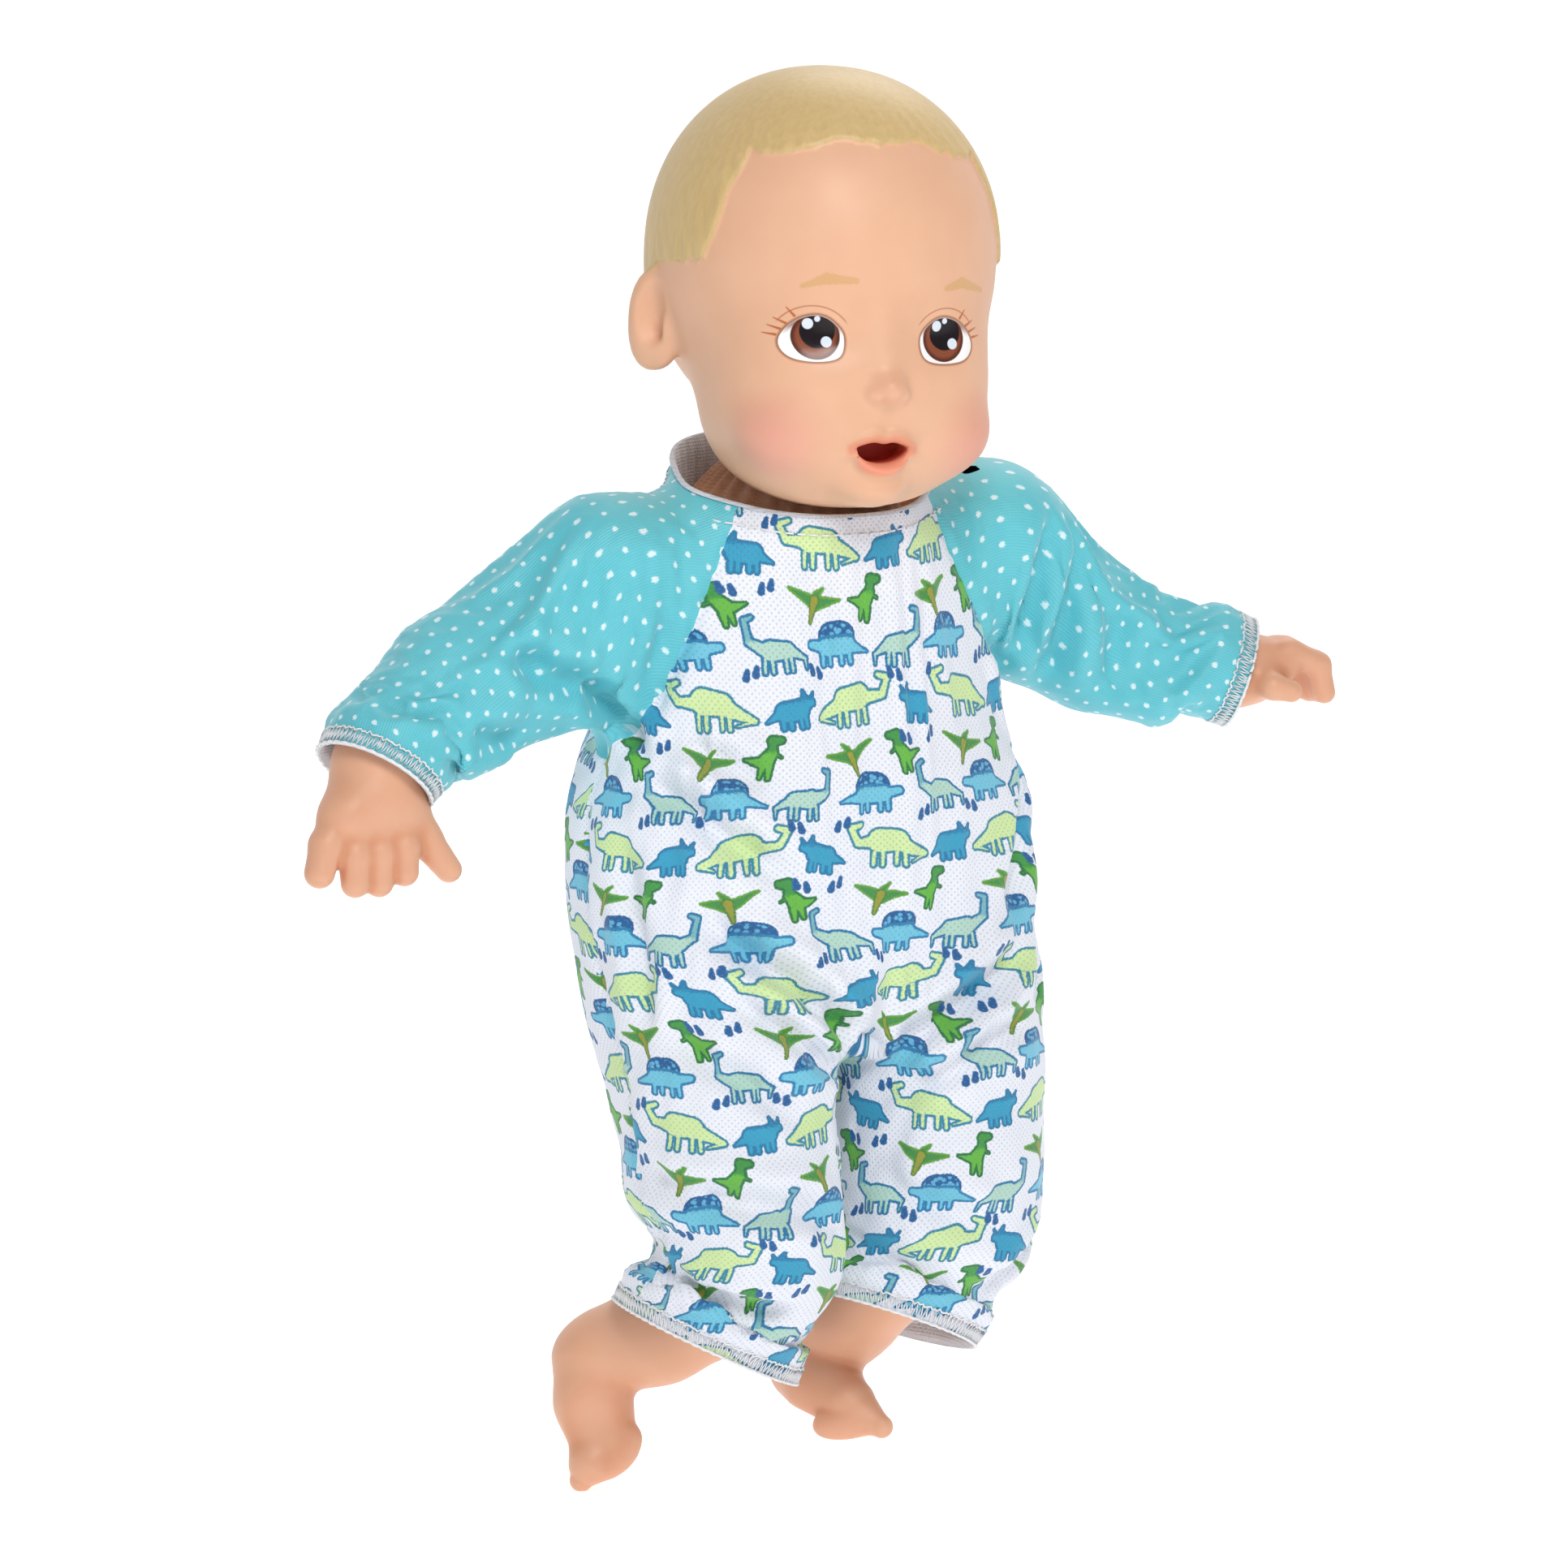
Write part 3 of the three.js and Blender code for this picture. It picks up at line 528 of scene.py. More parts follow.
FEET = {
    "right": {
        "shin": [(-28, -18, 52, 13), (-40, -3, 42, 12.2), (-48, 7, 36.5, 11.4)],
        "foot": [(-51.5, 10, 34, 10.6), (-53.5, 7, 24, 9.2), (-53, 3, 15.5, 8.6)],
        "toes": [
            (-57, 2.5, 9.5, 5.2), (-52.8, 0.6, 9.4, 3.4), (-50.4, -0.6, 11.2, 3.2),
            (-48.8, -1.4, 13.6, 3.0), (-48, -1.6, 16.2, 2.8),
        ],
        "big_tip": (-58.9, 3.4, 5.6, 2.9),
        "sole": (-0.45, -0.86, -0.22),
    },
    "left": {
        "shin": [(21, -17, 56, 13), (16, 0, 41, 12), (13, 9, 30, 10.6)],
        "foot": [(10.5, 12, 25.5, 9.8), (9.8, 3, 22.5, 9.2), (10.8, -7, 18.8, 7.4)],
        "toes": [
            (13.2, -12.6, 16.6, 4.3), (10, -12.2, 15.4, 3.4), (7.4, -11.2, 14.8, 3.2),
            (5.2, -9.8, 14.6, 3.0), (3.6, -8, 14.8, 2.8),
        ],
        "big_tip": (14.8, -17.2, 14.9, 2.9),
        "sole": (-0.3, 0.1, -0.95),
    },
}
LIMB_STEP = 0.8
LIMB_MARGIN = 16
CREASE_REACH = 1.6


def hand_field(hand):
    low, high, thick = hand["palm"]

    def field(p):
        d = merge(chain(p, hand["wrist"], 3), bone(p, low, high, thick, thick), 4)
        for number, finger in enumerate(hand["fingers"]):
            d = merge(d, chain(p, finger, 1.6), 3.2 if number == 4 else 2.2)
        return d
    return field


def foot_field(foot):
    sole = vec(*foot["sole"])

    def field(p):
        d = merge(chain(p, foot["shin"], 4), chain(p, foot["foot"], 3), 2.5)
        arch = vec(*foot["foot"][1][:3]) + sole * 20
        d = carve(d, length(p - arch) - 11.4, 6)
        for number, (x, y, z, radius) in enumerate(foot["toes"]):
            toe = length(p - vec(x, y, z)) - radius
            if number == 0:
                toe = merge(toe, bone(p, (x, y, z), foot["big_tip"][:3], radius, foot["big_tip"][3]), 0.6)
            d = merge(d, toe, 2.2)
        return d
    return field


def box_round(stops, margin):
    stops = np.array(stops)
    return stops.min(0) - margin, stops.max(0) + margin


def make_limb(name, field, stops, body, node, material):
    low, high = box_round(stops, LIMB_MARGIN)
    points, faces = surface(field, low, high, LIMB_STEP)
    points = settle(field, points, 2)
    limb = new_object(name, points, faces, material)
    # How far each point sits inside a fold of the limb, kept for the painted shade that darkens the creases.
    above = points + CREASE_REACH * slope_of(field, points, 0.2)
    keep_values(limb, "crease", field(above) - CREASE_REACH)
    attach(limb, body)
    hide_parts(node)
    return limb


def make_limbs(material):
    for side in ("right", "left"):
        hand = HANDS[side]
        stops = [s[:3] for s in hand["wrist"]] + [s[:3] for f in hand["fingers"] for s in f]
        make_limb(f"vinyl_hand_{side}", hand_field(hand), stops, f"{side}_arm", f"arm_{side}", material)
        foot = FEET[side]
        stops = [s[:3] for s in foot["shin"] + foot["foot"]] + [t[:3] for t in foot["toes"]]
        make_limb(f"vinyl_foot_{side}", foot_field(foot), stops, f"{side}_leg", f"leg_{side}", material)


# ---- The romper as one loose sheet round the doll ----
# Torso levels: height, half width, half depth, and how far forward the middle is.
TORSO = [
    (118, 52, 34, -8), (135, 58, 37, -6), (150, 60, 39, -3), (163, 62, 41, -2),
    (178, 61, 42, -1), (190, 56, 41, 0), (205, 49, 38, 0), (220, 43, 35, 0),
    (235, 36, 31, 0), (250, 31, 29, 0), (268, 28, 28, 0),
]
# Sleeves and trousers: (x, y, z, radius) stops.
SLEEVES = {
    "right": [
        (-34, 0, 229.5, 19.5), (-52, 1, 226, 22.5), (-70, 3, 218, 19.5),
        (-93, 4, 208.5, 18), (-108, 0, 198, 16.5), (-121, -5, 183, 14.6),
    ],
    "left": [
        (34, 0, 230, 19.5), (54, 1, 230, 21.5), (70, 2, 221, 18.5),
        (88, 1, 211, 17), (106, -6, 203, 15), (126, -13, 194.5, 13.4),
    ],
}
TROUSERS = {
    "right": [
        (-29, -3, 150, 30), (-29, -9, 130, 29), (-29.5, -15, 111, 27.6), (-29, -20, 87, 26.5),
        (-28, -27, 71, 23), (-30, -20, 57, 23.6), (-33.5, -10, 36, 25),
    ],
    "left": [
        (29, -3, 150, 30), (30, -9, 130, 29.5), (30.5, -15, 111, 28.6), (30, -19, 87, 27),
        (27, -19, 71, 26.3), (22, -15, 55, 25), (16.5, -6, 34, 24),
    ],
}
# Openings and seams are planes: a point and the way out of the cloth.
CUFFS = {
    "right": (vec(-119, -4, 186), vec(-0.6, -0.2, -0.8)),
    "left": (vec(122, -12, 196), vec(0.9, -0.36, -0.3)),
}
HEMS = {
    "right": (vec(-33, -10, 41), vec(-0.48, 0.12, -1)),
    "left": (vec(17, -6, 41), vec(-0.43, -0.1, -1)),
}
COLLAR = (vec(0, 0, 252.5), vec(0, -0.27, 1))
WAIST = 180
CLOTH_STEP = 2.6
BODY_STEP = 4
LEG_SPREAD = 3.2
SHEET_BOX = (vec(-142, -66, 20), vec(146, 56, 280))
SHEET_WELD = 1e-6
BACK_PANEL_SHIFT = 600
SIDES = {"right": -1, "left": 1}


def torso_field(p, swell=0.0):
    levels = np.array(TORSO, float)
    half_width = np.interp(p[:, 2], levels[:, 0], levels[:, 1]) + swell
    half_depth = np.interp(p[:, 2], levels[:, 0], levels[:, 2]) + swell
    middle = np.interp(p[:, 2], levels[:, 0], levels[:, 3])
    q = np.stack([p[:, 0] / half_width, (p[:, 1] - middle) / half_depth], 1)
    reach = np.maximum((np.abs(q)**2.2).sum(1), 1e-9)**(1 / 2.2)
    wall = (reach - 1) * half_depth
    ends = np.maximum(levels[0, 0] - swell - p[:, 2], p[:, 2] - levels[-1, 0])
    return np.maximum(wall, ends) * 0.9


def swollen(stops, extra):
    return [(x, y, z, r + extra) for x, y, z, r in stops]


def line_between(z):
    """Where the two trouser legs meet, across the doll."""
    return np.interp(z, [36, 60, 87, 110], [-7.5, -4, 0, 0])


def spread(z):
    """How far each trouser leg is held aside while the sheet is meshed, to keep two surfaces."""
    return LEG_SPREAD * smooth(119, 106, z)


def leg_field(p, side, swell=0.0):
    sign = SIDES[side]
    flat_side = -sign * (p[:, 0] - line_between(p[:, 2]))
    return carve(chain(p, swollen(TROUSERS[side], swell), 5), -flat_side, 3)


def cloth_field(p):
    d = torso_field(p)
    aside = spread(p[:, 2])[:, None] * vec(1, 0, 0)
    legs = np.minimum(*(leg_field(p - sign * aside, side) for side, sign in SIDES.items()))
    d = merge(d, legs, 7)
    for side in SIDES:
        d = merge(d, chain(p, SLEEVES[side], 6), 9)
    return d


def body_field(p):
    """What the cloth rests on: the doll inside."""
    d = torso_field(p, -7)
    for side in SIDES:
        d = merge(d, chain(p, swollen(SLEEVES[side], -6), 4), 5)
        d = np.minimum(d, leg_field(p, side, -7))
    return d


def beyond(p, cut):
    point, normal = cut
    return (p - point) @ (normal / length(normal))


def trim(bm, cut, region):
    """Cuts the sheet off beyond a plane, among the faces of one region."""
    faces = [f for f in bm.faces if region(to_doll(f.calc_center_median()))]
    parts = set(faces)
    for face in faces:
        parts.update(face.verts)
        parts.update(face.edges)
    point, normal = cut
    bmesh.ops.bisect_plane(bm, geom=list(parts), dist=SHEET_WELD, plane_co=to_frame(point),
                           plane_no=normal, clear_outer=True)


def shoulder_way(sign):
    """The direction across a raglan seam, from the neck's side out to the sleeve."""
    return vec(sign * 0.888, 0, 0.46)


def hip_way(sign):
    """The direction from the torso down and out into a trouser leg."""
    return vec(sign * 0.643, 0, -0.766)


def raglan_plane(sign):
    return vec(sign * 25, 0, 250), shoulder_way(sign)


def raglan(p, side):
    """Millimetres from the seam between front and sleeve, positive on the sleeve."""
    return beyond(p, raglan_plane(SIDES[side]))


def make_sheet():
    """The romper as one open sheet with its raglan seams cut in, before it drapes."""
    points, faces = surface(cloth_field, *SHEET_BOX, CLOTH_STEP)
    points = settle(cloth_field, points, 2)
    legs = np.where(points[:, 0] < line_between(points[:, 2]), -1, 1)
    points[:, 0] -= legs * spread(points[:, 2])
    sheet = new_object("romper_sheet", points, faces, bpy.data.materials.new("plain"))
    bm = bmesh.new()
    bm.from_mesh(sheet.data)
    trim(bm, COLLAR, lambda p: p[2] > 225 and abs(p[0]) < 45)
    for side, sign in SIDES.items():
        trim(bm, CUFFS[side], lambda p: sign * p[0] > 85)
        trim(bm, HEMS[side], lambda p: p[2] < 75 and sign * (p[0] - line_between(p[2])) > 0)
        point, normal = raglan_plane(sign)
        bmesh.ops.bisect_plane(bm, geom=bm.verts[:] + bm.edges[:] + bm.faces[:], dist=SHEET_WELD,
                               plane_co=to_frame(point), plane_no=normal)
    bm.to_mesh(sheet.data)
    bm.free()
    return sheet


def seam_across(z):
    """How far forward the side seams run at a height: down the middle of the torso and of each leg."""
    return np.interp(z, [36, 57, 71, 87, 111, 130, 150, 163], [-10, -20, -27, -20, -15, -9, -3, -1])


def panel_map(p, back):
    """Flat pattern place, in millimetres, of points of the body's and trousers' front or back."""
    side = np.where(p[:, 0] < line_between(p[:, 2]), -1, 1)
    facing = -1 if back else 1
    place = np.zeros((len(p), 2))
    for name, sign in SIDES.items():
        stops = np.array(TROUSERS[name])[::-1]
        x, y, r = (np.interp(p[:, 2], stops[:, 2], stops[:, k]) for k in (0, 1, 3))
        angle = np.arctan2(p[:, 0] - x, facing * (y - p[:, 1]))
        down = np.r_[0, np.cumsum(length(np.diff(stops[::-1, :3], axis=0)))]
        fall = np.interp(-p[:, 2], -stops[::-1, 2], down)
        leg = np.stack([sign * 29 + angle * r, 150 - fall], 1)
        place[side == sign] = leg[side == sign]
    levels = np.array(TORSO, float)
    wide = np.interp(p[:, 2], levels[:, 0], levels[:, 1])
    deep = np.interp(p[:, 2], levels[:, 0], levels[:, 2])
    around = np.arctan2(p[:, 0] / wide, -facing * p[:, 1] / deep)
    body = np.stack([around * (wide + deep) / 2 * 1.04, p[:, 2]], 1)
    high = smooth(120, 158, p[:, 2])[:, None]
    return place * (1 - high) + body * high


def sleeve_place(p, side):
    """Distance down the sleeve, angle round it from the top, and its radius there."""
    stops = np.array(SLEEVES[side], float)
    lengths = length(np.diff(stops[:, :3], axis=0))
    starts = np.r_[0, np.cumsum(lengths)]
    total, down, centre, radius = 0, 0, 0, 0
    for number, size in enumerate(lengths):
        a, b = stops[number], stops[number + 1]
        t = (p - a[:3]) @ (b - a)[:3] / size**2
        kept = np.clip(t, -1.5 if number == 0 else -0.25, 1.5 if number == len(lengths) - 1 else 1.25)
        near = np.clip(t, 0, 1)
        weight = np.exp(-length(p - a[:3] - near[:, None] * (b - a)[:3]) / 2.5)
        total = total + weight
        down = down + weight * (starts[number] + kept * size)
        centre = centre + weight[:, None] * (a[:3] + kept[:, None] * (b - a)[:3])
        radius = radius + weight * (a[3] + near * (b - a)[3])
    out = p - centre / total[:, None]
    axis = stops[-1, :3] - stops[0, :3]
    axis /= length(axis)
    up = vec(0, 0, 1) - axis * axis[2]
    up /= length(up)
    return down / total, np.arctan2(out @ np.cross(axis, up), out @ up), radius / total


def lay_out(sheet):
    """Gives each face its place in the flat fabric, and tells sleeves from body."""
    p = points_of(sheet)
    faces = sheet.data.polygons
    centres = to_doll(read(faces, "center", 3))
    part = np.zeros(len(faces), int)
    for number, side in enumerate(SIDES):
        outward = (raglan(centres, side) > 0) & (SIDES[side] * centres[:, 0] > 20)
        part[outward & (centres[:, 2] > 150)] = number + 1
    loops = read(sheet.data.loops, "vertex_index", 1, int)
    face_of_loop = np.repeat(np.arange(len(faces)), [f.loop_total for f in faces])
    behind = centres[:, 1] > seam_across(centres[:, 2])
    place = np.zeros((len(loops), 2))
    for back in (False, True):
        chosen = (part[face_of_loop] == 0) & (behind[face_of_loop] == back)
        place[chosen] = panel_map(p[loops[chosen]], back) + (BACK_PANEL_SHIFT if back else 0)
    for number, side in enumerate(SIDES):
        chosen = part[face_of_loop] == number + 1
        down, angle, radius = sleeve_place(p[loops[chosen]], side)
        middle = sleeve_place(centres[face_of_loop[chosen]], side)[1]
        angle = (angle - middle + math.pi) % (2 * math.pi) - math.pi + middle
        place[chosen] = np.stack([angle * radius, -down], 1)
    layer = sheet.data.uv_layers.new(name="fabric")
    layer.data.foreach_set("uv", place.astype(np.float32).ravel())
    kinds = sheet.data.attributes.new("part", "INT", "FACE")
    kinds.data.foreach_set("value", part)


# ---- Draping ----
DRAPE_FRAMES = 26
DRAPE_CAP = 6.0


def openings(p):
    """Millimetres from the nearest opening of the romper."""
    gaps = [np.abs(beyond(p, COLLAR)) + 60 * (p[:, 2] < 225)]
    for side, sign in SIDES.items():
        gaps.append(np.abs(beyond(p, CUFFS[side])) + 60 * (sign * p[:, 0] < 85))
        wrong_side = sign * (p[:, 0] - line_between(p[:, 2])) < 0
        gaps.append(np.abs(beyond(p, HEMS[side])) + 60 * (wrong_side | (p[:, 2] > 75)))
    return np.min(gaps, 0)


def drape(sheet):
    """Lets the romper, cut a little too large, settle and wrinkle on the body."""
    before = points_of(sheet)
    points, faces = surface(body_field, *SHEET_BOX, BODY_STEP)
    body = new_object("body_form", points, faces, sheet.data.materials[0])
    body.modifiers.new("form", "COLLISION")
    body.collision.thickness_outer = 1.0 * MM
    body.collision.cloth_friction = 15
    group = sheet.vertex_groups.new(name="held")
    hold = np.clip(1 - (openings(before) - 4) / 10, 0.02, 1)
    for number, weight in enumerate(hold):
        group.add([number], float(weight), "REPLACE")
    cloth = sheet.modifiers.new("drape", "CLOTH")
    rules = cloth.settings
    rules.quality = 6
    rules.mass = 0.15
    rules.tension_stiffness = rules.compression_stiffness = 12
    rules.shear_stiffness = 5
    rules.bending_stiffness = 0.12
    rules.shrink_min = rules.shrink_max = -0.09
    rules.vertex_group_mass = "held"
    rules.pin_stiffness = 0.6
    cloth.collision_settings.distance_min = 1.0 * MM
    cloth.collision_settings.use_self_collision = False
    scene = bpy.context.scene
    for number in range(1, DRAPE_FRAMES + 1):
        scene.frame_set(number)
    evaluated = sheet.evaluated_get(bpy.context.evaluated_depsgraph_get())
    after = points_of(evaluated)
    sheet.modifiers.remove(cloth)
    scene.frame_set(1)
    bpy.data.objects.remove(body)
    move = after - before
    far = length(move)
    move *= (np.minimum(far, DRAPE_CAP) / np.maximum(far, 1e-6))[:, None]
    return before + move


def set_points(obj, points):
    obj.data.vertices.foreach_set("co", to_frame(points).astype(np.float32).ravel())
    obj.data.update()


def bake_modifiers(obj):
    graph = bpy.context.evaluated_depsgraph_get()
    shown = obj.evaluated_get(graph)
    mesh = bpy.data.meshes.new_from_object(shown, preserve_all_data_layers=True, depsgraph=graph)
    obj.modifiers.clear()
    obj.data = mesh


def normals_of(obj):
    return read(obj.data.vertex_normals, "vector", 3)


FOLD_DEPTH = 1.35


def groove(p, a, b, width, depth):
    """A fold: how far the cloth sinks along a line on its surface, with a ridge at each side."""
    stops = np.linspace(0, 1, 7)[:, None]
    path = settle(cloth_field, vec(*a) + stops * (vec(*b) - vec(*a)), 25)
    near = np.nonzero(length(p - path.mean(0)) < length(path[0] - path[-1]) / 2 + 5 * width)[0]
    away, along = np.full(len(near), 1e9), np.zeros(len(near))
    for number, (start, end) in enumerate(zip(path, path[1:])):
        run = end - start
        t = np.clip((p[near] - start) @ run / (run @ run), 0, 1)
        distance = length(p[near] - start - t[:, None] * run)
        closer = distance < away
        away[closer], along[closer] = distance[closer], ((number + t) / (len(path) - 1))[closer]
    ends = smooth(0, 0.3, along + 0.06) * smooth(1, 0.7, along - 0.06)
    sink = np.zeros(len(p))
    sink[near] = (bell(away, width) - 0.5 * bell(away - 1.8 * width, width)) * FOLD_DEPTH * depth * ends
    return sink


# Folds: from, to, half width and depth, in the doll's frame.
FOLDS = [
    ((-48, -34, 156), (-2, -40, 120), 3.8, 4.0),
    ((-42, -40, 138), (-6, -42, 111), 3.2, 3.1),
    ((-56, -30, 128), (-24, -44, 104), 3.4, 2.1),
    ((50, -36, 142), (6, -40, 118), 3.6, 3.3),
    ((46, -38, 124), (10, -42, 108), 3.0, 2.2),
    ((0, -40, 124), (0, -42, 104), 3.2, 3.1),
    ((-60, -20, 192), (-24, -40, 162), 3.8, 3.1),
    ((-50, -28, 200), (-30, -38, 186), 3.2, 1.9),
    ((-57, -14, 172), (-54, -22, 126), 3.4, 2.2),
    ((-88, -14, 219), (-63, -18, 207), 3.6, 3.1),
    ((-64, -18, 209), (-57, -16, 195), 3.2, 3.7),
    ((-98, -14, 202), (-78, -16, 194), 3.6, 2.6),
    ((-44, -20, 224), (-52, -18, 200), 4.2, 2.1),
    ((-108, -14, 192), (-96, -12, 186), 3.2, 1.6),
    ((62, -17, 240), (57, -14, 206), 3.2, 2.9),
    ((73, -16, 232), (68, -12, 200), 3.2, 2.9),
    ((88, -16, 220), (82, -12, 196), 3.8, 1.9),
    ((48, -26, 214), (60, -14, 200), 3.4, 1.9),
    ((-54, -18, 94), (-16, -46, 76), 3.8, 2.6),
    ((-54, -22, 67), (-26, -42, 62), 3.4, 2.7),
    ((-50, -28, 56), (-34, -42, 50), 3.0, 1.5),
    ((4, -34, 86), (32, -46, 74), 4.0, 2.2),
    ((52, -22, 76), (32, -40, 58), 3.6, 2.2),
    ((57, -16, 190), (44, -34, 150), 3.8, 2.6),
    ((58, -14, 160), (50, -30, 124), 3.6, 2.0),
    ((-42, 34, 152), (-6, 36, 122), 3.8, 3.1),
    ((42, 34, 152), (6, 36, 122), 3.8, 3.1),
    ((0, 34, 126), (0, 30, 104), 3.2, 3.1),
    ((-46, 30, 194), (-28, 38, 160), 4.2, 2.2),
    ((44, 30, 200), (26, 38, 164), 4.2, 2.2),
    ((-90, 18, 218), (-66, 20, 202), 3.6, 2.4),
    ((66, 18, 236), (60, 16, 204), 3.4, 2.4),
    ((-50, 0, 80), (-34, 6, 70), 3.6, 2.5),
    ((50, 0, 84), (30, 8, 72), 3.8, 2.4),
]


def add_folds(sheet, rest):
    p = points_of(sheet)
    sink = np.zeros(len(p))
    for a, b, width, depth in FOLDS:
        sink += groove(rest, a, b, width, depth)
    for side in SIDES:
        seam = raglan(rest, side)
        on_seam = smooth(170, 190, rest[:, 2]) * (SIDES[side] * rest[:, 0] > 15)
        sink += (0.9 * bell(seam + 0.2, 1.0) - 0.35 * bell(seam - 2.2, 1.3)) * on_seam
    side_seam = np.abs(rest[:, 1] - seam_across(rest[:, 2]))
    outer = smooth(8, 22, np.abs(rest[:, 0] - line_between(rest[:, 2])))
    sink += 0.8 * bell(side_seam, 1.1) * outer * smooth(200, 192, rest[:, 2])
    quiet = smooth(1.5, 9, openings(rest))
    set_points(sheet, p - normals_of(sheet) * (sink * quiet)[:, None])


def take_faces(sheet, name, chosen, material, normals):
    """A piece of the sheet that keeps the whole sheet's shading across its cut edges."""
    piece = sheet.copy()
    piece.data = sheet.data.copy()
    piece.name = piece.data.name = name
    bpy.context.scene.collection.objects.link(piece)
    keep_values(piece, "shading", normals)
    bm = bmesh.new()
    bm.from_mesh(piece.data)
    bm.faces.ensure_lookup_table()
    bmesh.ops.delete(bm, geom=[bm.faces[i] for i in np.nonzero(~chosen)[0]], context="FACES")
    bm.to_mesh(piece.data)
    bm.free()
    piece.data.materials.clear()
    piece.data.materials.append(material)
    shading = read(piece.data.attributes["shading"].data, "vector", 3)
    piece.data.normals_split_custom_set_from_vertices(shading.tolist())
    return piece


def face_values(obj, values):
    """A point value averaged onto each face."""
    faces = obj.data.polygons
    loops = read(obj.data.loops, "vertex_index", 1, int)
    starts = read(faces, "loop_start", 1, int)
    counts = read(faces, "loop_total", 1, int)
    total = np.add.reduceat(values[loops], starts, axis=0)
    return total / (counts if values.ndim == 1 else counts[:, None])


def ride_torso(made):
    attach(made, "torso")


# Two distances from the doll's origin along the way of each soft shoulder and hip joint; make_romper turns them
# into points, but nothing bends there.
SHOULDER_BLEND = (137.5, 167.5)
HIP_BLEND = (-98, -50)


def make_romper(print_knit, aqua_knit):
    sheet = make_sheet()
    lay_out(sheet)
    rest = points_of(sheet)
    keep_values(sheet, "rest", rest)
    set_points(sheet, drape(sheet))
    sheet.vertex_groups.clear()
    sheet.modifiers.new("finer", "SUBSURF").levels = 1
    bake_modifiers(sheet)
    rest = read(sheet.data.attributes["rest"].data, "vector", 3)
    add_folds(sheet, rest)
    normals = normals_of(sheet)
    part = read(sheet.data.attributes["part"].data, "value", 1, int)
    place = face_values(sheet, rest)
    high = place[:, 2] > WAIST
    bodice = take_faces(sheet, "romper_bodice", (part == 0) & high, print_knit, normals)
    ride_torso(bodice)
    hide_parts("romper_front", "romper_back")
    pieces = {"bodice": bodice}
    for number, (side, sign) in enumerate(SIDES.items()):
        sleeve = take_faces(sheet, f"romper_sleeve_{side}", part == number + 1, aqua_knit, normals)
        start, end = (to_frame(shoulder_way(sign) * reach) for reach in SHOULDER_BLEND)
        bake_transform(sleeve)
        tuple(start)
        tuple(end)
        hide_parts(f"sleeve_{side}")
        own_side = sign * (place[:, 0] - line_between(place[:, 2])) > 0
        chosen = (part == 0) & ~high & own_side
        trouser = take_faces(sheet, f"romper_trouser_{side}", chosen, print_knit, normals)
        start, end = (to_frame(hip_way(sign) * reach) for reach in HIP_BLEND)
        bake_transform(trouser)
        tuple(start)
        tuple(end)
        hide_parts(f"trouser_{side}")
        pieces["sleeve", side], pieces["trouser", side] = sleeve, trouser
    bpy.data.objects.remove(sheet)
    return pieces


# ---- Materials ----
def stroke(g, p, a, b, ra, rb):
    """Distance outside a tapered line from a to b, in the plane."""
    run = (b[0] - a[0], b[1] - a[1], 0)
    size = max(run[0] ** 2 + run[1] ** 2, 1e-6)
    from_a = g.vector("SUBTRACT", p, (*a, 0))
    t = g.math("MULTIPLY", g.vector("DOT_PRODUCT", from_a, run), 1 / size, clamp=True)
    nearest = g.vector("MULTIPLY", g.join(t, t, t), run)
    away = g.vector("LENGTH", g.vector("SUBTRACT", from_a, nearest))
    return g.math("SUBTRACT", away, g.math("MULTIPLY_ADD", t, rb - ra, ra))


def strokes(g, p, lines, soft=0.3):
    total = None
    for line in lines:
        d = stroke(g, p, *line)
        total = d if total is None else g.math("SMOOTH_MIN", total, d, soft)
    return total


def legs_of(spots, top, foot, thick):
    return [((x, top), (x + lean, foot), thick, thick * 0.9) for x, lean in spots]


# Print animals: lines (from, to, radius, radius) in their own millimetres.
LONG_NECK = [
    ((-1.6, 0.9), (2.2, 0.6), 2.5, 2.2), ((3, 0), (8, -2.1), 1.7, 0.7), ((8, -2.1), (4.9, -3.2), 0.6, 0.3),
    ((-3.4, 0.6), (-6.4, 0.8), 1.3, 0.9), ((-6.4, 0.8), (-7.8, 3.4), 0.9, 0.75),
    ((-7.8, 3.6), (-6, 4.3), 0.8, 0.65),
    *legs_of([(-2.6, -0.1), (-1, 0), (1.9, 0), (3.4, 0.2)], -1.5, -3.9, 0.62),
]
UPRIGHT_NECK = [
    ((0, -0.4), (3.2, -0.6), 2.2, 1.8), ((4, -0.8), (7, -2.4), 1.3, 0.5), ((7, -2.4), (7.1, -4.4), 0.5, 0.3),
    ((-1.6, 0), (-4.2, 1.6), 1.4, 0.9), ((-4.2, 1.6), (-4.6, 5.6), 0.85, 0.7),
    ((-4.6, 5.8), (-3.1, 6.3), 0.7, 0.55),
    *legs_of([(-1.4, -0.3), (0, 0), (2.7, 0), (3.8, 0.1)], -2, -4.6, 0.6),
]
SAIL_BACK = [
    ((-2.2, -0.6), (2.7, -0.6), 2.1, 2.0), ((-3.5, -1), (-7.5, -2.2), 1.3, 0.3),
    ((4.3, -0.3), (6.4, 0), 1.2, 0.95),
    *legs_of([(-2.6, -0.2), (-0.9, 0), (2.0, 0), (3.6, 0.1)], -2, -4.1, 0.65),
]
SAIL = [((-1.0, 1.2), (1.2, 1.2), 3.0, 2.9)]
HORNED = [
    ((-1.5, 0), (2, 0.3), 2.5, 2.4), ((3.4, 1.4), (5.2, 1.5), 1.8, 1), ((3.6, 2.6), (3.2, 4.2), 0.9, 0.4),
    ((5.2, 2.4), (6, 3.6), 0.5, 0.2), ((-3, -0.4), (-6.2, -1.7), 1.3, 0.3),
    *legs_of([(-2.4, -0.1), (-0.8, 0), (1.6, 0), (2.9, 0.1)], -1.5, -3.7, 0.75),
]
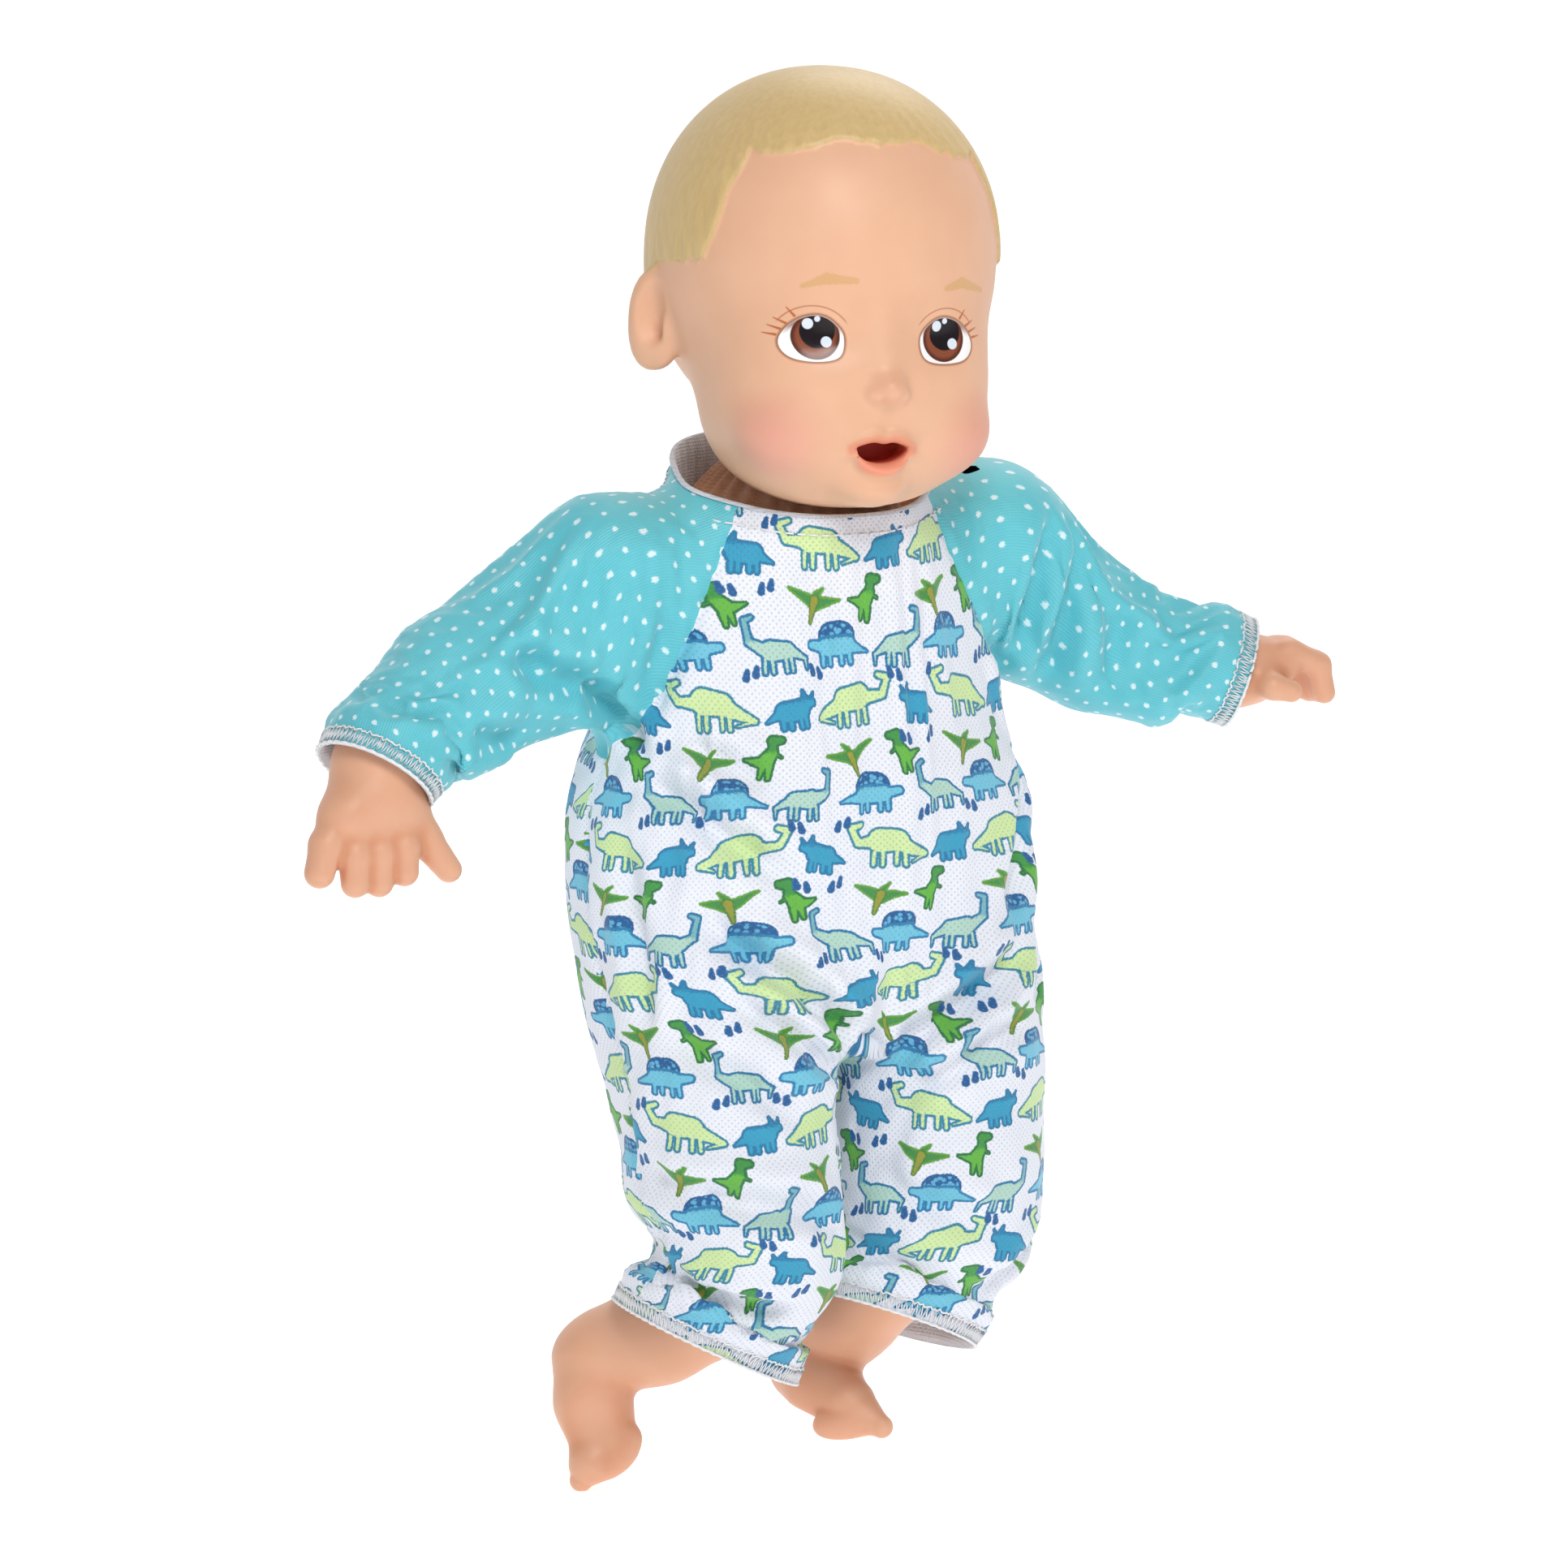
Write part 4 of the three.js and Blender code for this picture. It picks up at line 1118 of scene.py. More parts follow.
TWO_LEGGED = [
    ((-0.5, -0.5), (0.8, 1.6), 1.9, 1.4), ((0.8, 1.8), (1, 3.8), 1.2, 1), ((1, 4.2), (2.9, 4.5), 1.4, 0.9),
    ((-1, -1), (-5.2, -0.4), 1.5, 0.3), ((0.2, -2), (0.3, -4.6), 1, 0.6),
    ((-1.2, -2), (-1.6, -4.4), 0.9, 0.5), ((1.6, 1), (3, 0.4), 0.4, 0.3),
]
WINGED = [((0, 0), (-5.5, 2.2), 1.3, 0.2), ((0, 0), (5.2, 1.2), 1.3, 0.2), ((0.3, 1.6), (1.5, 2.8), 0.6, 0.2)]
WINGED_BODY = [((0, 0.6), (-0.9, -3.6), 0.9, 0.3)]
FOOTPRINTS = [((x + dx, y + dy), (x + dx + 0.4, y + dy + 1.5), 0.8, 0.5)
              for x, y in ((8.6, 6.2), (-14.5, -9.5), (-12.6, 4.6)) for dx, dy in ((0, 0), (2.2, 0.7))]
PRINT_WIDE = 35
PRINT_HIGH = 34
PRINT_STAGGER = 6.5
PRINT_MESH = 1.55
OUTLINE = 0.32


def print_cell(g, uv, offset, scale, lean):
    """Place across and up inside the repeat that is centred on offset; every other one is mirrored."""
    x, y, _ = g.split(uv)
    row = g.math("FLOOR", (y - offset[1]) / PRINT_HIGH + 0.5)
    down = (y - offset[1]) - row * PRINT_HIGH
    x = x - offset[0] + row * PRINT_STAGGER
    column = g.math("FLOOR", x / PRINT_WIDE + 0.5)
    across = x - column * PRINT_WIDE
    odd = g.math("FLOORED_MODULO", row + column, 2)
    flip = 1 - odd * 2
    across = across * flip
    return (across - down * lean) / scale, (down + across * lean) / scale


def paint(g, colour, uv, fuzz, offset, scale, lines, fill, edge, lean, thick):
    """Draws one animal, filled and outlined, in every repeat of the print."""
    x, y = print_cell(g, uv, offset, scale, lean)
    d = strokes(g, g.join(x, y), lines) + fuzz
    inside = g.mix(g.below(d, -thick / scale, 0.12), edge, fill(y))
    return g.mix(g.below(d, thick / scale, 0.12), colour, inside)


def shade_band(g, y, ragged, height, first, second):
    """One colour up to a height and another above it, broken up like felt pen."""
    return g.mix(g.below(y + ragged, height, 0.4), second, first)


def knit_holes(g, uv):
    """Rows of small holes between stitches, staggered like a chessboard."""
    x, y, _ = g.split(uv)
    wave_x = g.math("COSINE", x * (2 * math.pi / PRINT_MESH))
    wave_y = g.math("COSINE", y * (2 * math.pi / PRINT_MESH))
    return g.below(wave_x * wave_y, -0.62, 0.25)


def print_material():
    g = Graph("print_knit")
    uv = g.uv()
    pin = knit_holes(g, uv)
    ground = g.mix(g.noise(uv, 0.05, 3), srgb(228, 232, 243), srgb(240, 242, 250))
    fuzz = g.noise(uv, 2.2, 1) * 0.5 - 0.25
    ragged = g.noise(uv, 1.9, 2) * 2.4 - 1.2
    deep, teal = srgb(24, 92, 150), srgb(44, 134, 162)

    def plain(*colour):
        return lambda y: srgb(*colour)

    def shaded(height, first, second):
        return lambda y: shade_band(g, y, ragged, height, first, second)

    long_neck = plain(208, 233, 168)
    upright_neck = shaded(1.6, srgb(178, 214, 200), srgb(120, 180, 190))
    sail_back = shaded(1.1, srgb(112, 196, 222), deep)
    horned = shaded(2, srgb(48, 158, 196), srgb(30, 130, 175))
    two_legged = shaded(1.5, srgb(100, 182, 62), srgb(62, 150, 66))
    # Place in the repeat, size, lines, fill, outline, lean and the outline's half width.
    drawn = [
        ((0, 0), 1.22, LONG_NECK, long_neck, teal, 0.05, OUTLINE),
        ((14.6, 12.4), 1.1, UPRIGHT_NECK, upright_neck, srgb(26, 118, 165), -0.04, OUTLINE),
        ((-3.5, 13), 1.08, SAIL, lambda y: spotted(g, uv), deep, 0.03, OUTLINE),
        ((-3.5, 13), 1.08, SAIL_BACK, sail_back, srgb(34, 125, 175), 0.03, OUTLINE),
        ((18, -1.4), 0.98, HORNED, horned, srgb(28, 122, 168), -0.1, OUTLINE),
        ((11.8, -12), 0.98, TWO_LEGGED, two_legged, srgb(34, 118, 62), 0.1, OUTLINE),
        ((-2, -12.4), 1.2, WINGED, plain(64, 142, 66), srgb(96, 160, 50), 0.15, 0.26),
        ((-2, -12.4), 1.2, WINGED_BODY, plain(150, 152, 50), srgb(70, 130, 50), 0.15, 0.2),
        ((0, 0), 1, FOOTPRINTS, plain(28, 92, 152), srgb(40, 108, 165), 0, 0.12),
    ]
    colour = ground
    for offset, scale, lines, fill, edge, lean, thick in drawn:
        colour = paint(g, colour, uv, fuzz, offset, scale, lines, fill, edge, lean, thick)
    # Painted shade: the small holes between stitches are darkened.
    colour = g.mix(pin * 0.26, colour, srgb(128, 140, 156))
    g.set(Base_Color=colour, Roughness=0.72, Sheen_Weight=0.25, Sheen_Roughness=0.45)
    rows = g.math("ABSOLUTE", g.math("SINE", g.split(uv)[0] * (math.pi / 0.78)))
    g.bump(rows * 0.3 + g.noise(uv, 1.6, 3) * 0.55 - pin * 0.9, 0.16 * MM, 0.8)
    return g.material


def spotted(g, uv):
    """Light round plates on a dark sail."""
    cells = g.node("ShaderNodeTexVoronoi", voronoi_dimensions="2D")
    g.feed(cells.inputs["Vector"], uv)
    cells.inputs["Scale"].default_value = 0.72
    light = g.below(Value(g, cells.outputs["Distance"]), 0.36, 0.1)
    return g.mix(light, srgb(24, 92, 152), srgb(96, 178, 214))


def aqua_material():
    g = Graph("aqua_knit")
    uv = g.uv()
    x, y, _ = g.split(uv)
    pitch_x, pitch_y = 5.2, 4.6
    row = g.math("FLOOR", y / pitch_y + 0.5)
    shifted = x + g.math("FLOORED_MODULO", row, 2) * (pitch_x / 2)
    dx = shifted - g.math("FLOOR", shifted / pitch_x + 0.5) * pitch_x
    dy = y - row * pitch_y
    fuzz = g.noise(uv, 2.4, 2) * 0.9 - 0.45
    spot = g.vector("LENGTH", g.join(dx, dy, 0)) + fuzz
    dots = g.below(spot, 0.62, 0.22)
    rib = g.math("ABSOLUTE", g.math("SINE", x * (math.pi / 0.62)))
    fine = g.math("SINE", y * (2 * math.pi / 0.5) + rib * 2.5)
    base = g.mix(g.noise(uv, 0.08, 3), srgb(88, 192, 206), srgb(112, 206, 216))
    # Painted shade: the grooves between the ribs, which the bump sinks, are darkened.
    base = g.mix(0.65 + rib * 0.35, srgb(56, 166, 190), base)
    g.set(Base_Color=g.mix(dots * 0.85, base, srgb(232, 246, 250)), Roughness=0.5,
          Sheen_Weight=0.35, Sheen_Roughness=0.35, Anisotropic=0.4)
    g.bump(rib * 0.55 + fine * 0.12 + g.noise(uv, 1.2, 3) * 0.35, 0.14 * MM, 0.8)
    return g.material


def set_vinyl(g, colour, place, scale):
    grain = g.noise(place, 1.1 * scale, 3)
    waves = g.noise(place, 0.06 * scale, 2)
    g.set(Base_Color=colour, Roughness=0.43 + (waves - 0.5) * 0.08, Subsurface_Weight=0.12,
          Subsurface_Radius=(1.0, 0.45, 0.28), Subsurface_Scale=2.2 * MM, Specular_IOR_Level=0.36)
    g.bump(grain, 0.05 * MM, 0.35)


def limb_material():
    g = Graph("limb_vinyl")
    place = g.object_place()
    crease = g.attribute("crease")
    tone = g.mix(g.noise(place, 60, 2), srgb(220, 164, 132), srgb(227, 174, 143))
    # Painted shade: the vinyl is darkened in the limbs' creases, between fingers and toes and at wrists and
    # ankles.
    shaded = g.mix(g.below(crease, -0.5, 0.5) * 0.8, tone, srgb(210, 142, 106))
    set_vinyl(g, shaded, place, 1000)
    return g.material


# Corners of the white of an eye, and its lashes: across towards the temple, and up.
EYE_WHITE = [
    (8.8, -1.8), (6.5, -5.2), (1, -6), (-4, -5.6), (-6.2, -4.2),
    (-6.9, -1), (-6.3, 1.8), (-2, 5.4), (3, 5), (7, 2),
]
LASHES = [
    ((6.6, 3.0), (9.0, 4.2)), ((7.8, 1.6), (10.2, 2.4)),
    ((8.8, 0.2), (11.2, 0.5)), ((4.8, 4.9), (6.4, 6.8)),
]


def outline_distance(x, y, corners):
    """Distance outside a closed outline."""
    corners = np.array(corners, float)
    best, inside = np.full(len(x), 1e9), np.zeros(len(x), bool)
    for (ax, ay), (bx, by) in zip(corners, np.roll(corners, -1, axis=0)):
        run = vec(bx - ax, by - ay)
        t = np.clip(((x - ax) * run[0] + (y - ay) * run[1]) / (run @ run), 0, 1)
        best = np.minimum(best, np.hypot(x - ax - t * run[0], y - ay - t * run[1]))
        crosses = (ay > y) != (by > y)
        inside ^= crosses & (x < ax + (y - ay) / (by - ay if by != ay else 1) * (bx - ax))
    return np.where(inside, -best, best)


def rounded_corners(corners, rounds=3):
    c = np.array(corners, float)
    for _ in range(rounds):
        after = np.roll(c, -1, axis=0)
        c = np.stack([c * 0.75 + after * 0.25, c * 0.25 + after * 0.75], 1).reshape(-1, 2)
    return c


def eye_white_distance(q):
    total = np.full(len(q), 50.0)
    for side, sign in SIDES.items():
        x, z = EYES[side]
        near = (q[:, 1] < -20) & (sign * q[:, 0] > 0) & (np.abs(q[:, 2] - z) < 16)
        total[near] = outline_distance(sign * (q[near, 0] - x), q[near, 2] - z, rounded_corners(EYE_WHITE))
    return total


def paint_eyes(g, colour, place):
    x, y, z = g.split(place)
    left = g.below(x, 0, 0.001)
    centre_x = g.mix_number(left, EYES["left"][0], EYES["right"][0])
    centre_z = g.mix_number(left, EYES["left"][1], EYES["right"][1])
    across, up = x - centre_x, z - centre_z
    outward = across * (1 - left * 2)
    front = g.below(y, -24, 1)
    p = g.join(outward, up, 0)
    seen = g.join(across, up, 0)
    white = g.attribute("white")

    def put(colour, share, over):
        return g.mix(share * front, colour, over)

    crease = g.math("ABSOLUTE", g.vector("LENGTH", g.join(outward - 0.6, up + 2.2, 0)) - 9.6)
    arc = g.below(crease, 0.16, 0.12) * g.below(0 - up, -3.6, 0.8)
    colour = put(colour, arc * 0.75, srgb(176, 104, 66))
    halo = g.below(white, 0.5, 0.35)
    colour = put(colour, halo * 0.85, srgb(150, 92, 62))
    colour = put(colour, g.below(white, 0.0, 0.1), srgb(246, 244, 244))
    brow_shade = g.below(0 - white, 0.9, 0.4) * g.below(white, 0.0, 0.2) * g.below(0 - up, -1.5, 1.5)
    colour = put(colour, brow_shade * 0.8, srgb(140, 82, 54))
    iris = g.vector("LENGTH", g.join(across / 1.06, up, 0))
    within = g.below(white, -0.25, 0.1)
    rim = g.mix(g.below(iris, 4.6, 0.5), srgb(92, 46, 34), srgb(136, 74, 50))
    colour = put(colour, g.below(iris, 5.45, 0.12) * within, rim)
    pupil = g.vector("LENGTH", g.join((across - 0.4) / 1.02, up - 1.4, 0))
    colour = put(colour, g.below(pupil, 4.15, 0.15) * within, srgb(24, 16, 20))
    for dx, dz, radius in ((-1.9, 3.1, 1.3), (0.3, 4.3, 0.7), (2.6, -1.2, 1.3)):
        spot = g.vector("LENGTH", g.vector("SUBTRACT", seen, (dx, dz, 0)))
        colour = put(colour, g.below(spot, radius, 0.12), srgb(218, 226, 236))
    for start, end in LASHES:
        lash = stroke(g, p, start, end, 0.32, 0.12)
        colour = put(colour, g.below(lash, 0, 0.12), srgb(186, 104, 60))
    return colour, g.below(white, 0, 0.2) * front


BROWS = [((-20.4, -4.6), (-15.1, -2.6), 0.5, 1.4), ((-15.1, -2.6), (-8.2, -3.0), 1.4, 0.8),
         ((16.3, -4.8), (21, -3.6), 0.8, 1.4), ((21, -3.6), (28.4, -5.8), 1.4, 0.6)]


def head_material():
    g = Graph("head_vinyl")
    place = g.attribute("place", "Vector")
    x, y, z = g.split(place)
    side = g.math("ABSOLUTE", x)
    skin = g.mix(g.noise(place, 0.09, 2), srgb(222, 172, 140), srgb(230, 182, 150))
    blush = g.vector("LENGTH", g.vector("SUBTRACT", g.join(side, y, z), (24, -36, -41)))
    skin = g.mix(g.below(blush, 8.5, 7.5) * 0.55, skin, srgb(220, 136, 132))
    nose = g.vector("LENGTH", g.vector("SUBTRACT", place, (0, -50, -28)))
    skin = g.mix(g.below(nose, 4, 4) * 0.16, skin, srgb(226, 140, 112))
    lips = g.attribute("lips")
    front = g.below(y, -35, 2)
    lip_colour = g.mix(g.below(z, MOUTH_Z - 1.5, 1.5), srgb(222, 140, 110), srgb(236, 146, 118))
    low = g.below(z, MOUTH_Z - 4, 2.2)
    lip_share = g.below(lips - low * 1.1, 1.9, 0.8)
    skin = g.mix(lip_share * front * 0.85, skin, lip_colour)
    inside = g.below(lips, 0.2, 0.5) * g.below(0 - y, 42.5, 1.6) * g.below(y, -22, 2)
    skin = g.mix(inside, skin, srgb(196, 58, 38))
    brow = strokes(g, g.join(x, z, 0), BROWS)
    hairs = g.noise(g.join(x * 1.2, z * 3.4, 0), 1.0, 2)
    brow_share = g.below(brow + hairs * 1.3, 0.62, 0.3) * g.below(y, -24, 2)
    skin = g.mix(brow_share * 0.7, skin, srgb(208, 162, 104))
    skin, eye = paint_eyes(g, skin, place)
    hair = g.attribute("hair")
    streaks = g.noise(g.join(x * 0.5, y * 0.5, z * 0.12), 1.4, 3)
    hair_colour = g.mix(streaks, srgb(196, 166, 112), srgb(216, 188, 134))
    edge = g.noise(place, 0.8, 2) * 0.7 - 0.35
    fringe = g.below(0 - hair, -0.2, 2.2) * 0.35
    share = g.below(0 - hair + edge, 0.1, 0.3)
    colour = g.mix(fringe * (1 - share), skin, srgb(222, 178, 126))
    colour = g.mix(share, colour, hair_colour)
    set_vinyl(g, colour, place, 1)
    g.set(Roughness=0.45 - eye * 0.25)
    return g.material


# ---- Stitching ----
RUNG_PITCH = 1.25
BORDER_WIDTH = 4.4
THREAD = 0.24
TURN_DEPTH = 9


def boundary_loops(obj):
    """The open edges of a piece, as closed rounds of points in the doll's frame."""
    bm = bmesh.new()
    bm.from_mesh(obj.data)
    follow = {}
    for edge in bm.edges:
        if edge.is_boundary:
            a, b = (v.index for v in edge.verts)
            follow.setdefault(a, []).append(b)
            follow.setdefault(b, []).append(a)
    p = points_of(obj)
    bm.free()
    rounds = []
    while follow:
        first = min(follow)
        line, here, before = [first], first, None
        while True:
            onward = [n for n in follow[here] if n != before]
            before, here = here, onward[0] if onward else first
            if here == first or here in line[-3:]:
                break
            line.append(here)
        for number in line:
            follow.pop(number, None)
        if len(line) > 12:
            rounds.append(p[line])
        follow = {a: [b for b in bs if b in follow] for a, bs in follow.items()}
        follow = {a: bs for a, bs in follow.items() if bs}
    return rounds


def even(line, pitch, closed=True):
    """The same line with points at an even pitch."""
    run = np.vstack([line, line[:1]]) if closed else line
    along = np.r_[0, np.cumsum(length(np.diff(run, axis=0)))]
    count = max(int(round(along[-1] / pitch)), 4)
    stops = np.linspace(0, along[-1], count + (not closed), endpoint=not closed)
    return np.stack([np.interp(stops, along, run[:, k]) for k in range(3)], 1)


def surface_tree(obj):
    mesh = obj.data
    return BVHTree.FromPolygons([v.co for v in mesh.vertices], [tuple(f.vertices) for f in mesh.polygons])


def lay_on(tree, points, lift):
    """Puts points on the cloth, lifted a little, and gives the cloth's direction there."""
    placed, facing = [], []
    for point in to_frame(points):
        at, normal, _, _ = tree.find_nearest(Vector(point))
        placed.append(np.array(at) + np.array(normal) * lift * MM)
        facing.append(np.array(normal))
    return to_doll(placed), np.array(facing)


def rows_to_faces(row_count, count):
    """Faces between rounds of points, each round closed."""
    faces = []
    for row in range(row_count - 1):
        for i in range(count):
            here, after = row * count + i, row * count + (i + 1) % count
            faces.append((here, after, after + count, here + count))
    return faces


def tube(line, radius, closed=False, sides=5):
    """Points and faces of a thin round thread along a line."""
    ahead = np.roll(line, -1, axis=0) - np.roll(line, 1, axis=0)
    if not closed:
        ahead[0], ahead[-1] = line[1] - line[0], line[-1] - line[-2]
    ahead /= np.maximum(length(ahead), 1e-6)[:, None]
    across = np.cross(ahead, vec(0.31, 0.22, 0.92))
    across /= np.maximum(length(across), 1e-6)[:, None]
    other = np.cross(ahead, across)
    turns = np.arange(sides) * 2 * math.pi / sides
    ring = np.cos(turns)[None, :, None] * across[:, None] + np.sin(turns)[None, :, None] * other[:, None]
    points = (line[:, None] + ring * radius).reshape(-1, 3)
    count = len(line)
    faces = []
    for i in range(count if closed else count - 1):
        j = (i + 1) % count
        for k in range(sides):
            m = (k + 1) % sides
            faces.append((i * sides + k, i * sides + m, j * sides + m, j * sides + k))
    return points, faces


def join_shapes(shapes):
    points, faces, start = [], [], 0
    for shape_points, shape_faces in shapes:
        points.append(shape_points)
        faces += [tuple(n + start for n in face) for face in shape_faces]
        start += len(shape_points)
    return np.concatenate(points), faces


def opening_line(piece, cut):
    """The round of open edge that lies on a cut."""
    rounds = boundary_loops(piece)
    return min(rounds, key=lambda line: np.abs(beyond(line, cut)).mean())


def overlock(piece, cut, name, thread):
    """Overlock stitching round an opening: rungs between two chains of thread, laid over the cloth."""
    tree = surface_tree(piece)
    edge = even(opening_line(piece, cut), RUNG_PITCH / 2)
    _, facing = lay_on(tree, edge, 0)
    ahead = np.roll(edge, -1, axis=0) - np.roll(edge, 1, axis=0)
    ahead /= np.maximum(length(ahead), 1e-6)[:, None]
    inward = np.cross(facing, ahead)
    middle = points_of(piece).mean(0)
    inward *= np.sign(((middle - edge) * inward).sum(1).mean())
    depth = BORDER_WIDTH * (0.93 + 0.07 * np.sin(np.arange(len(edge)) * 2.7))
    inner, _ = lay_on(tree, edge + inward * depth[:, None], THREAD)
    halfway, _ = lay_on(tree, edge + inward * depth[:, None] / 2, THREAD * 1.5)
    outer = edge + facing * THREAD
    count = len(edge) - len(edge) % 2
    steps = []
    for i in range(0, count, 2):
        steps += [outer[i], halfway[i], inner[i], halfway[(i + 1) % count]]
    rungs = tube(np.array(steps), THREAD * 0.8, closed=True)
    twist = np.sin(np.arange(len(edge)) * math.pi / 2)[:, None]
    shapes = [rungs, tube(outer + facing * 0.25 * twist, THREAD * 1.7, closed=True),
              tube(inner + inward * 0.22 * twist, THREAD * 1.1, closed=True)]
    points, faces = join_shapes(shapes)
    return new_object(name, points, faces, thread)


def turned_edge(piece, cut):
    """A band of cloth folded back inside an opening."""
    edge = even(opening_line(piece, cut), 1.6)
    _, facing = lay_on(surface_tree(piece), edge, 0)
    normal = cut[1] / length(cut[1])
    steps = ((0, 0), (-0.35, 0.5), (2, 1.1), (TURN_DEPTH, 1.4))
    rows = [edge - normal * down - facing * sink for down, sink in steps]
    return np.concatenate(rows), rows_to_faces(len(rows), len(edge))


def finish_openings(pieces, thread, inner_cloth):
    for side in SIDES:
        for kind, cut, part in (("cuff", CUFFS[side], "sleeve"), ("hem", HEMS[side], "trouser")):
            piece = pieces[part, side]
            border = overlock(piece, cut, f"overlock_{kind}_{side}", thread)
            inside = new_object(f"turned_{kind}_{side}", *turned_edge(piece, cut), inner_cloth)
            body = f"{side}_arm" if kind == "cuff" else f"{side}_leg"
            for made in (border, inside):
                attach(made, body)
            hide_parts(f"{kind}_{side}")


# ---- The romper's turned and stitched neckline and back closure, and the cloth gathered on the neck ----
STITCH_POINTS = 5
STITCH_RADIUS = 0.24


def running_stitch(line):
    """Points and faces of short dashes of thread along a line."""
    dashes = []
    for start in range(0, len(line) - STITCH_POINTS, STITCH_POINTS + 1):
        dashes.append(tube(line[start:start + STITCH_POINTS], STITCH_RADIUS))
    return join_shapes(dashes)


NECKLINE_REACH = 36.0
NECKLINE_EVENING = 60


def neckline(tree, turns, drop):
    """Points on the inside of the romper, a little below its neck edge."""
    point, normal = COLLAR
    start = point - vec(0, 0, drop)
    ways, reaches = [], []
    for turn in turns:
        out = vec(math.sin(turn), -math.cos(turn), 0)
        out[2] = -(out @ normal) / normal[2]
        out /= np.linalg.norm(out)
        reach = tree.ray_cast(Vector(to_frame(start)), Vector(out), NECKLINE_REACH * MM)[3]
        ways.append(out)
        reaches.append(reach / MM if reach is not None else NECKLINE_REACH)
    reaches = np.array(reaches)
    for _ in range(NECKLINE_EVENING):
        calmer = (np.roll(reaches, 1) + np.roll(reaches, -1)) / 2
        reaches = np.minimum(reaches, calmer + 0.1)
    return start + np.array(ways) * reaches[:, None]


def make_neckline(pieces, thread, inner_cloth):
    shapes = []
    for piece in (pieces["bodice"], pieces["sleeve", "right"], pieces["sleeve", "left"]):
        shapes.append((points_of(piece), [tuple(f.vertices) for f in piece.data.polygons]))
    points, faces = join_shapes(shapes)
    tree = BVHTree.FromPolygons([Vector(p) for p in to_frame(points)], faces)
    turns = np.linspace(0, 2 * math.pi, 180, endpoint=False)
    inward = -np.stack([np.sin(turns), -np.cos(turns), 0 * turns], 1)
    top, low = neckline(tree, turns, 0.6), neckline(tree, turns, 4.6)
    gather = np.sin(turns * 34 + 2 * np.sin(turns * 5))[:, None]
    rows = [top - inward * 0.5, top - inward * 0.2 + vec(0, 0, 0.9), top + inward * 0.8 + vec(0, 0, 0.7)]
    for sink in (3, 7, 12):
        rows.append(top + inward * (1.5 + 0.7 * gather * min(sink, 6) / 6) - vec(0, 0, sink))
    faces = rows_to_faces(len(rows), len(turns))
    band = new_object("neckline_band", np.concatenate(rows), faces, inner_cloth)
    ride_torso(band)
    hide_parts("neck_binding")
    stitches = new_object("neckline_stitches", *running_stitch(even(low - inward * 0.35, 0.5)), thread)
    ride_torso(stitches)


# The hook and loop tapes sewn behind the back of the romper.
TAPE_HALF_WIDTH = 16.0
TAPE_LOW, TAPE_HIGH = 190.0, 208.0
TAPE_BEHIND = 40.0


def make_closure(bodice, thread, tape_cloth):
    """Two tapes that follow the back of the romper, with a box of stitches that shows outside."""
    tree = surface_tree(bodice)
    columns, rows = 13, 15
    across = np.linspace(-TAPE_HALF_WIDTH, TAPE_HALF_WIDTH, columns)
    spots = np.array([(x, TAPE_BEHIND, z) for z in np.linspace(TAPE_LOW, TAPE_HIGH, rows) for x in across])
    faces = [(r * columns + c, r * columns + c + 1, (r + 1) * columns + c + 1, (r + 1) * columns + c)
             for r in range(rows - 1) for c in range(columns - 1)]
    tapes = (("loop_tape", "back_closure_loop", 0.8), ("hook_tape", "back_closure_hook", 1.9))
    for name, node, sink in tapes:
        tape = new_object(name, lay_on(tree, spots, -sink)[0], faces, tape_cloth)
        ride_torso(tape)
        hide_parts(node)
    corners = [(-1, TAPE_LOW), (1, TAPE_LOW), (1, TAPE_HIGH), (-1, TAPE_HIGH)]
    box = np.array([(side * TAPE_HALF_WIDTH, TAPE_BEHIND, z) for side, z in corners])
    stitches = new_object("closure_stitches", *running_stitch(lay_on(tree, even(box, 0.5), 0.15)[0]), thread)
    ride_torso(stitches)


def make_neck(skin_cloth, thread):
    turns = np.linspace(0, 2 * math.pi, 300, endpoint=False)
    profile = [(27.5, 238), (26.4, 244), (23.4, 248.5), (19.4, 252.4), (16.4, 254.6)]
    rows = []
    for number, (radius, z) in enumerate(profile):
        pleat = 0.75 * np.sin(turns * 30 + 1.5 * np.sin(turns * 3)) * (0.4 + 0.2 * number)
        out = radius + pleat
        rows.append(np.stack([out * np.sin(turns), 2 - out * np.cos(turns), z + 0.4 * pleat], 1))
    neck = new_object("neck_cloth", np.concatenate(rows), rows_to_faces(len(rows), len(turns)), skin_cloth)
    ride_torso(neck)
    gathers = np.stack([16.8 * np.sin(turns), 2 - 16.8 * np.cos(turns), 254.3 + 0.5 * np.sin(turns * 40)], 1)
    ride_torso(new_object("neck_gather_thread", *tube(gathers, 0.45, closed=True), thread))


# ---- Finishes of the parts carried over from the frame ----
def knit_cloth(name, first, second, pitch):
    g = Graph(name)
    place = g.object_place()
    x, y, z = g.split(place)
    loops = g.math("ABSOLUTE", g.math("SINE", (x + y) * (math.pi / pitch / MM)))
    rows = g.math("SINE", z * (2 * math.pi / pitch / MM) + loops * 2)
    tone = g.mix(g.noise(place, 90, 3), srgb(*first), srgb(*second))
    g.set(Base_Color=tone, Roughness=0.85, Sheen_Weight=0.3)
    g.bump(loops * 0.6 + rows * 0.3, 0.2 * MM, 0.9)
    return g.material


def moulded(name, first, second, roughness):
    g = Graph(name)
    place = g.object_place()
    wear = g.noise(place, 220, 3)
    g.set(Base_Color=g.mix(wear, srgb(*first), srgb(*second)), Roughness=roughness + (wear - 0.5) * 0.12)
    g.bump(g.noise(place, 900, 2), 0.04 * MM, 0.5)
    return g.material


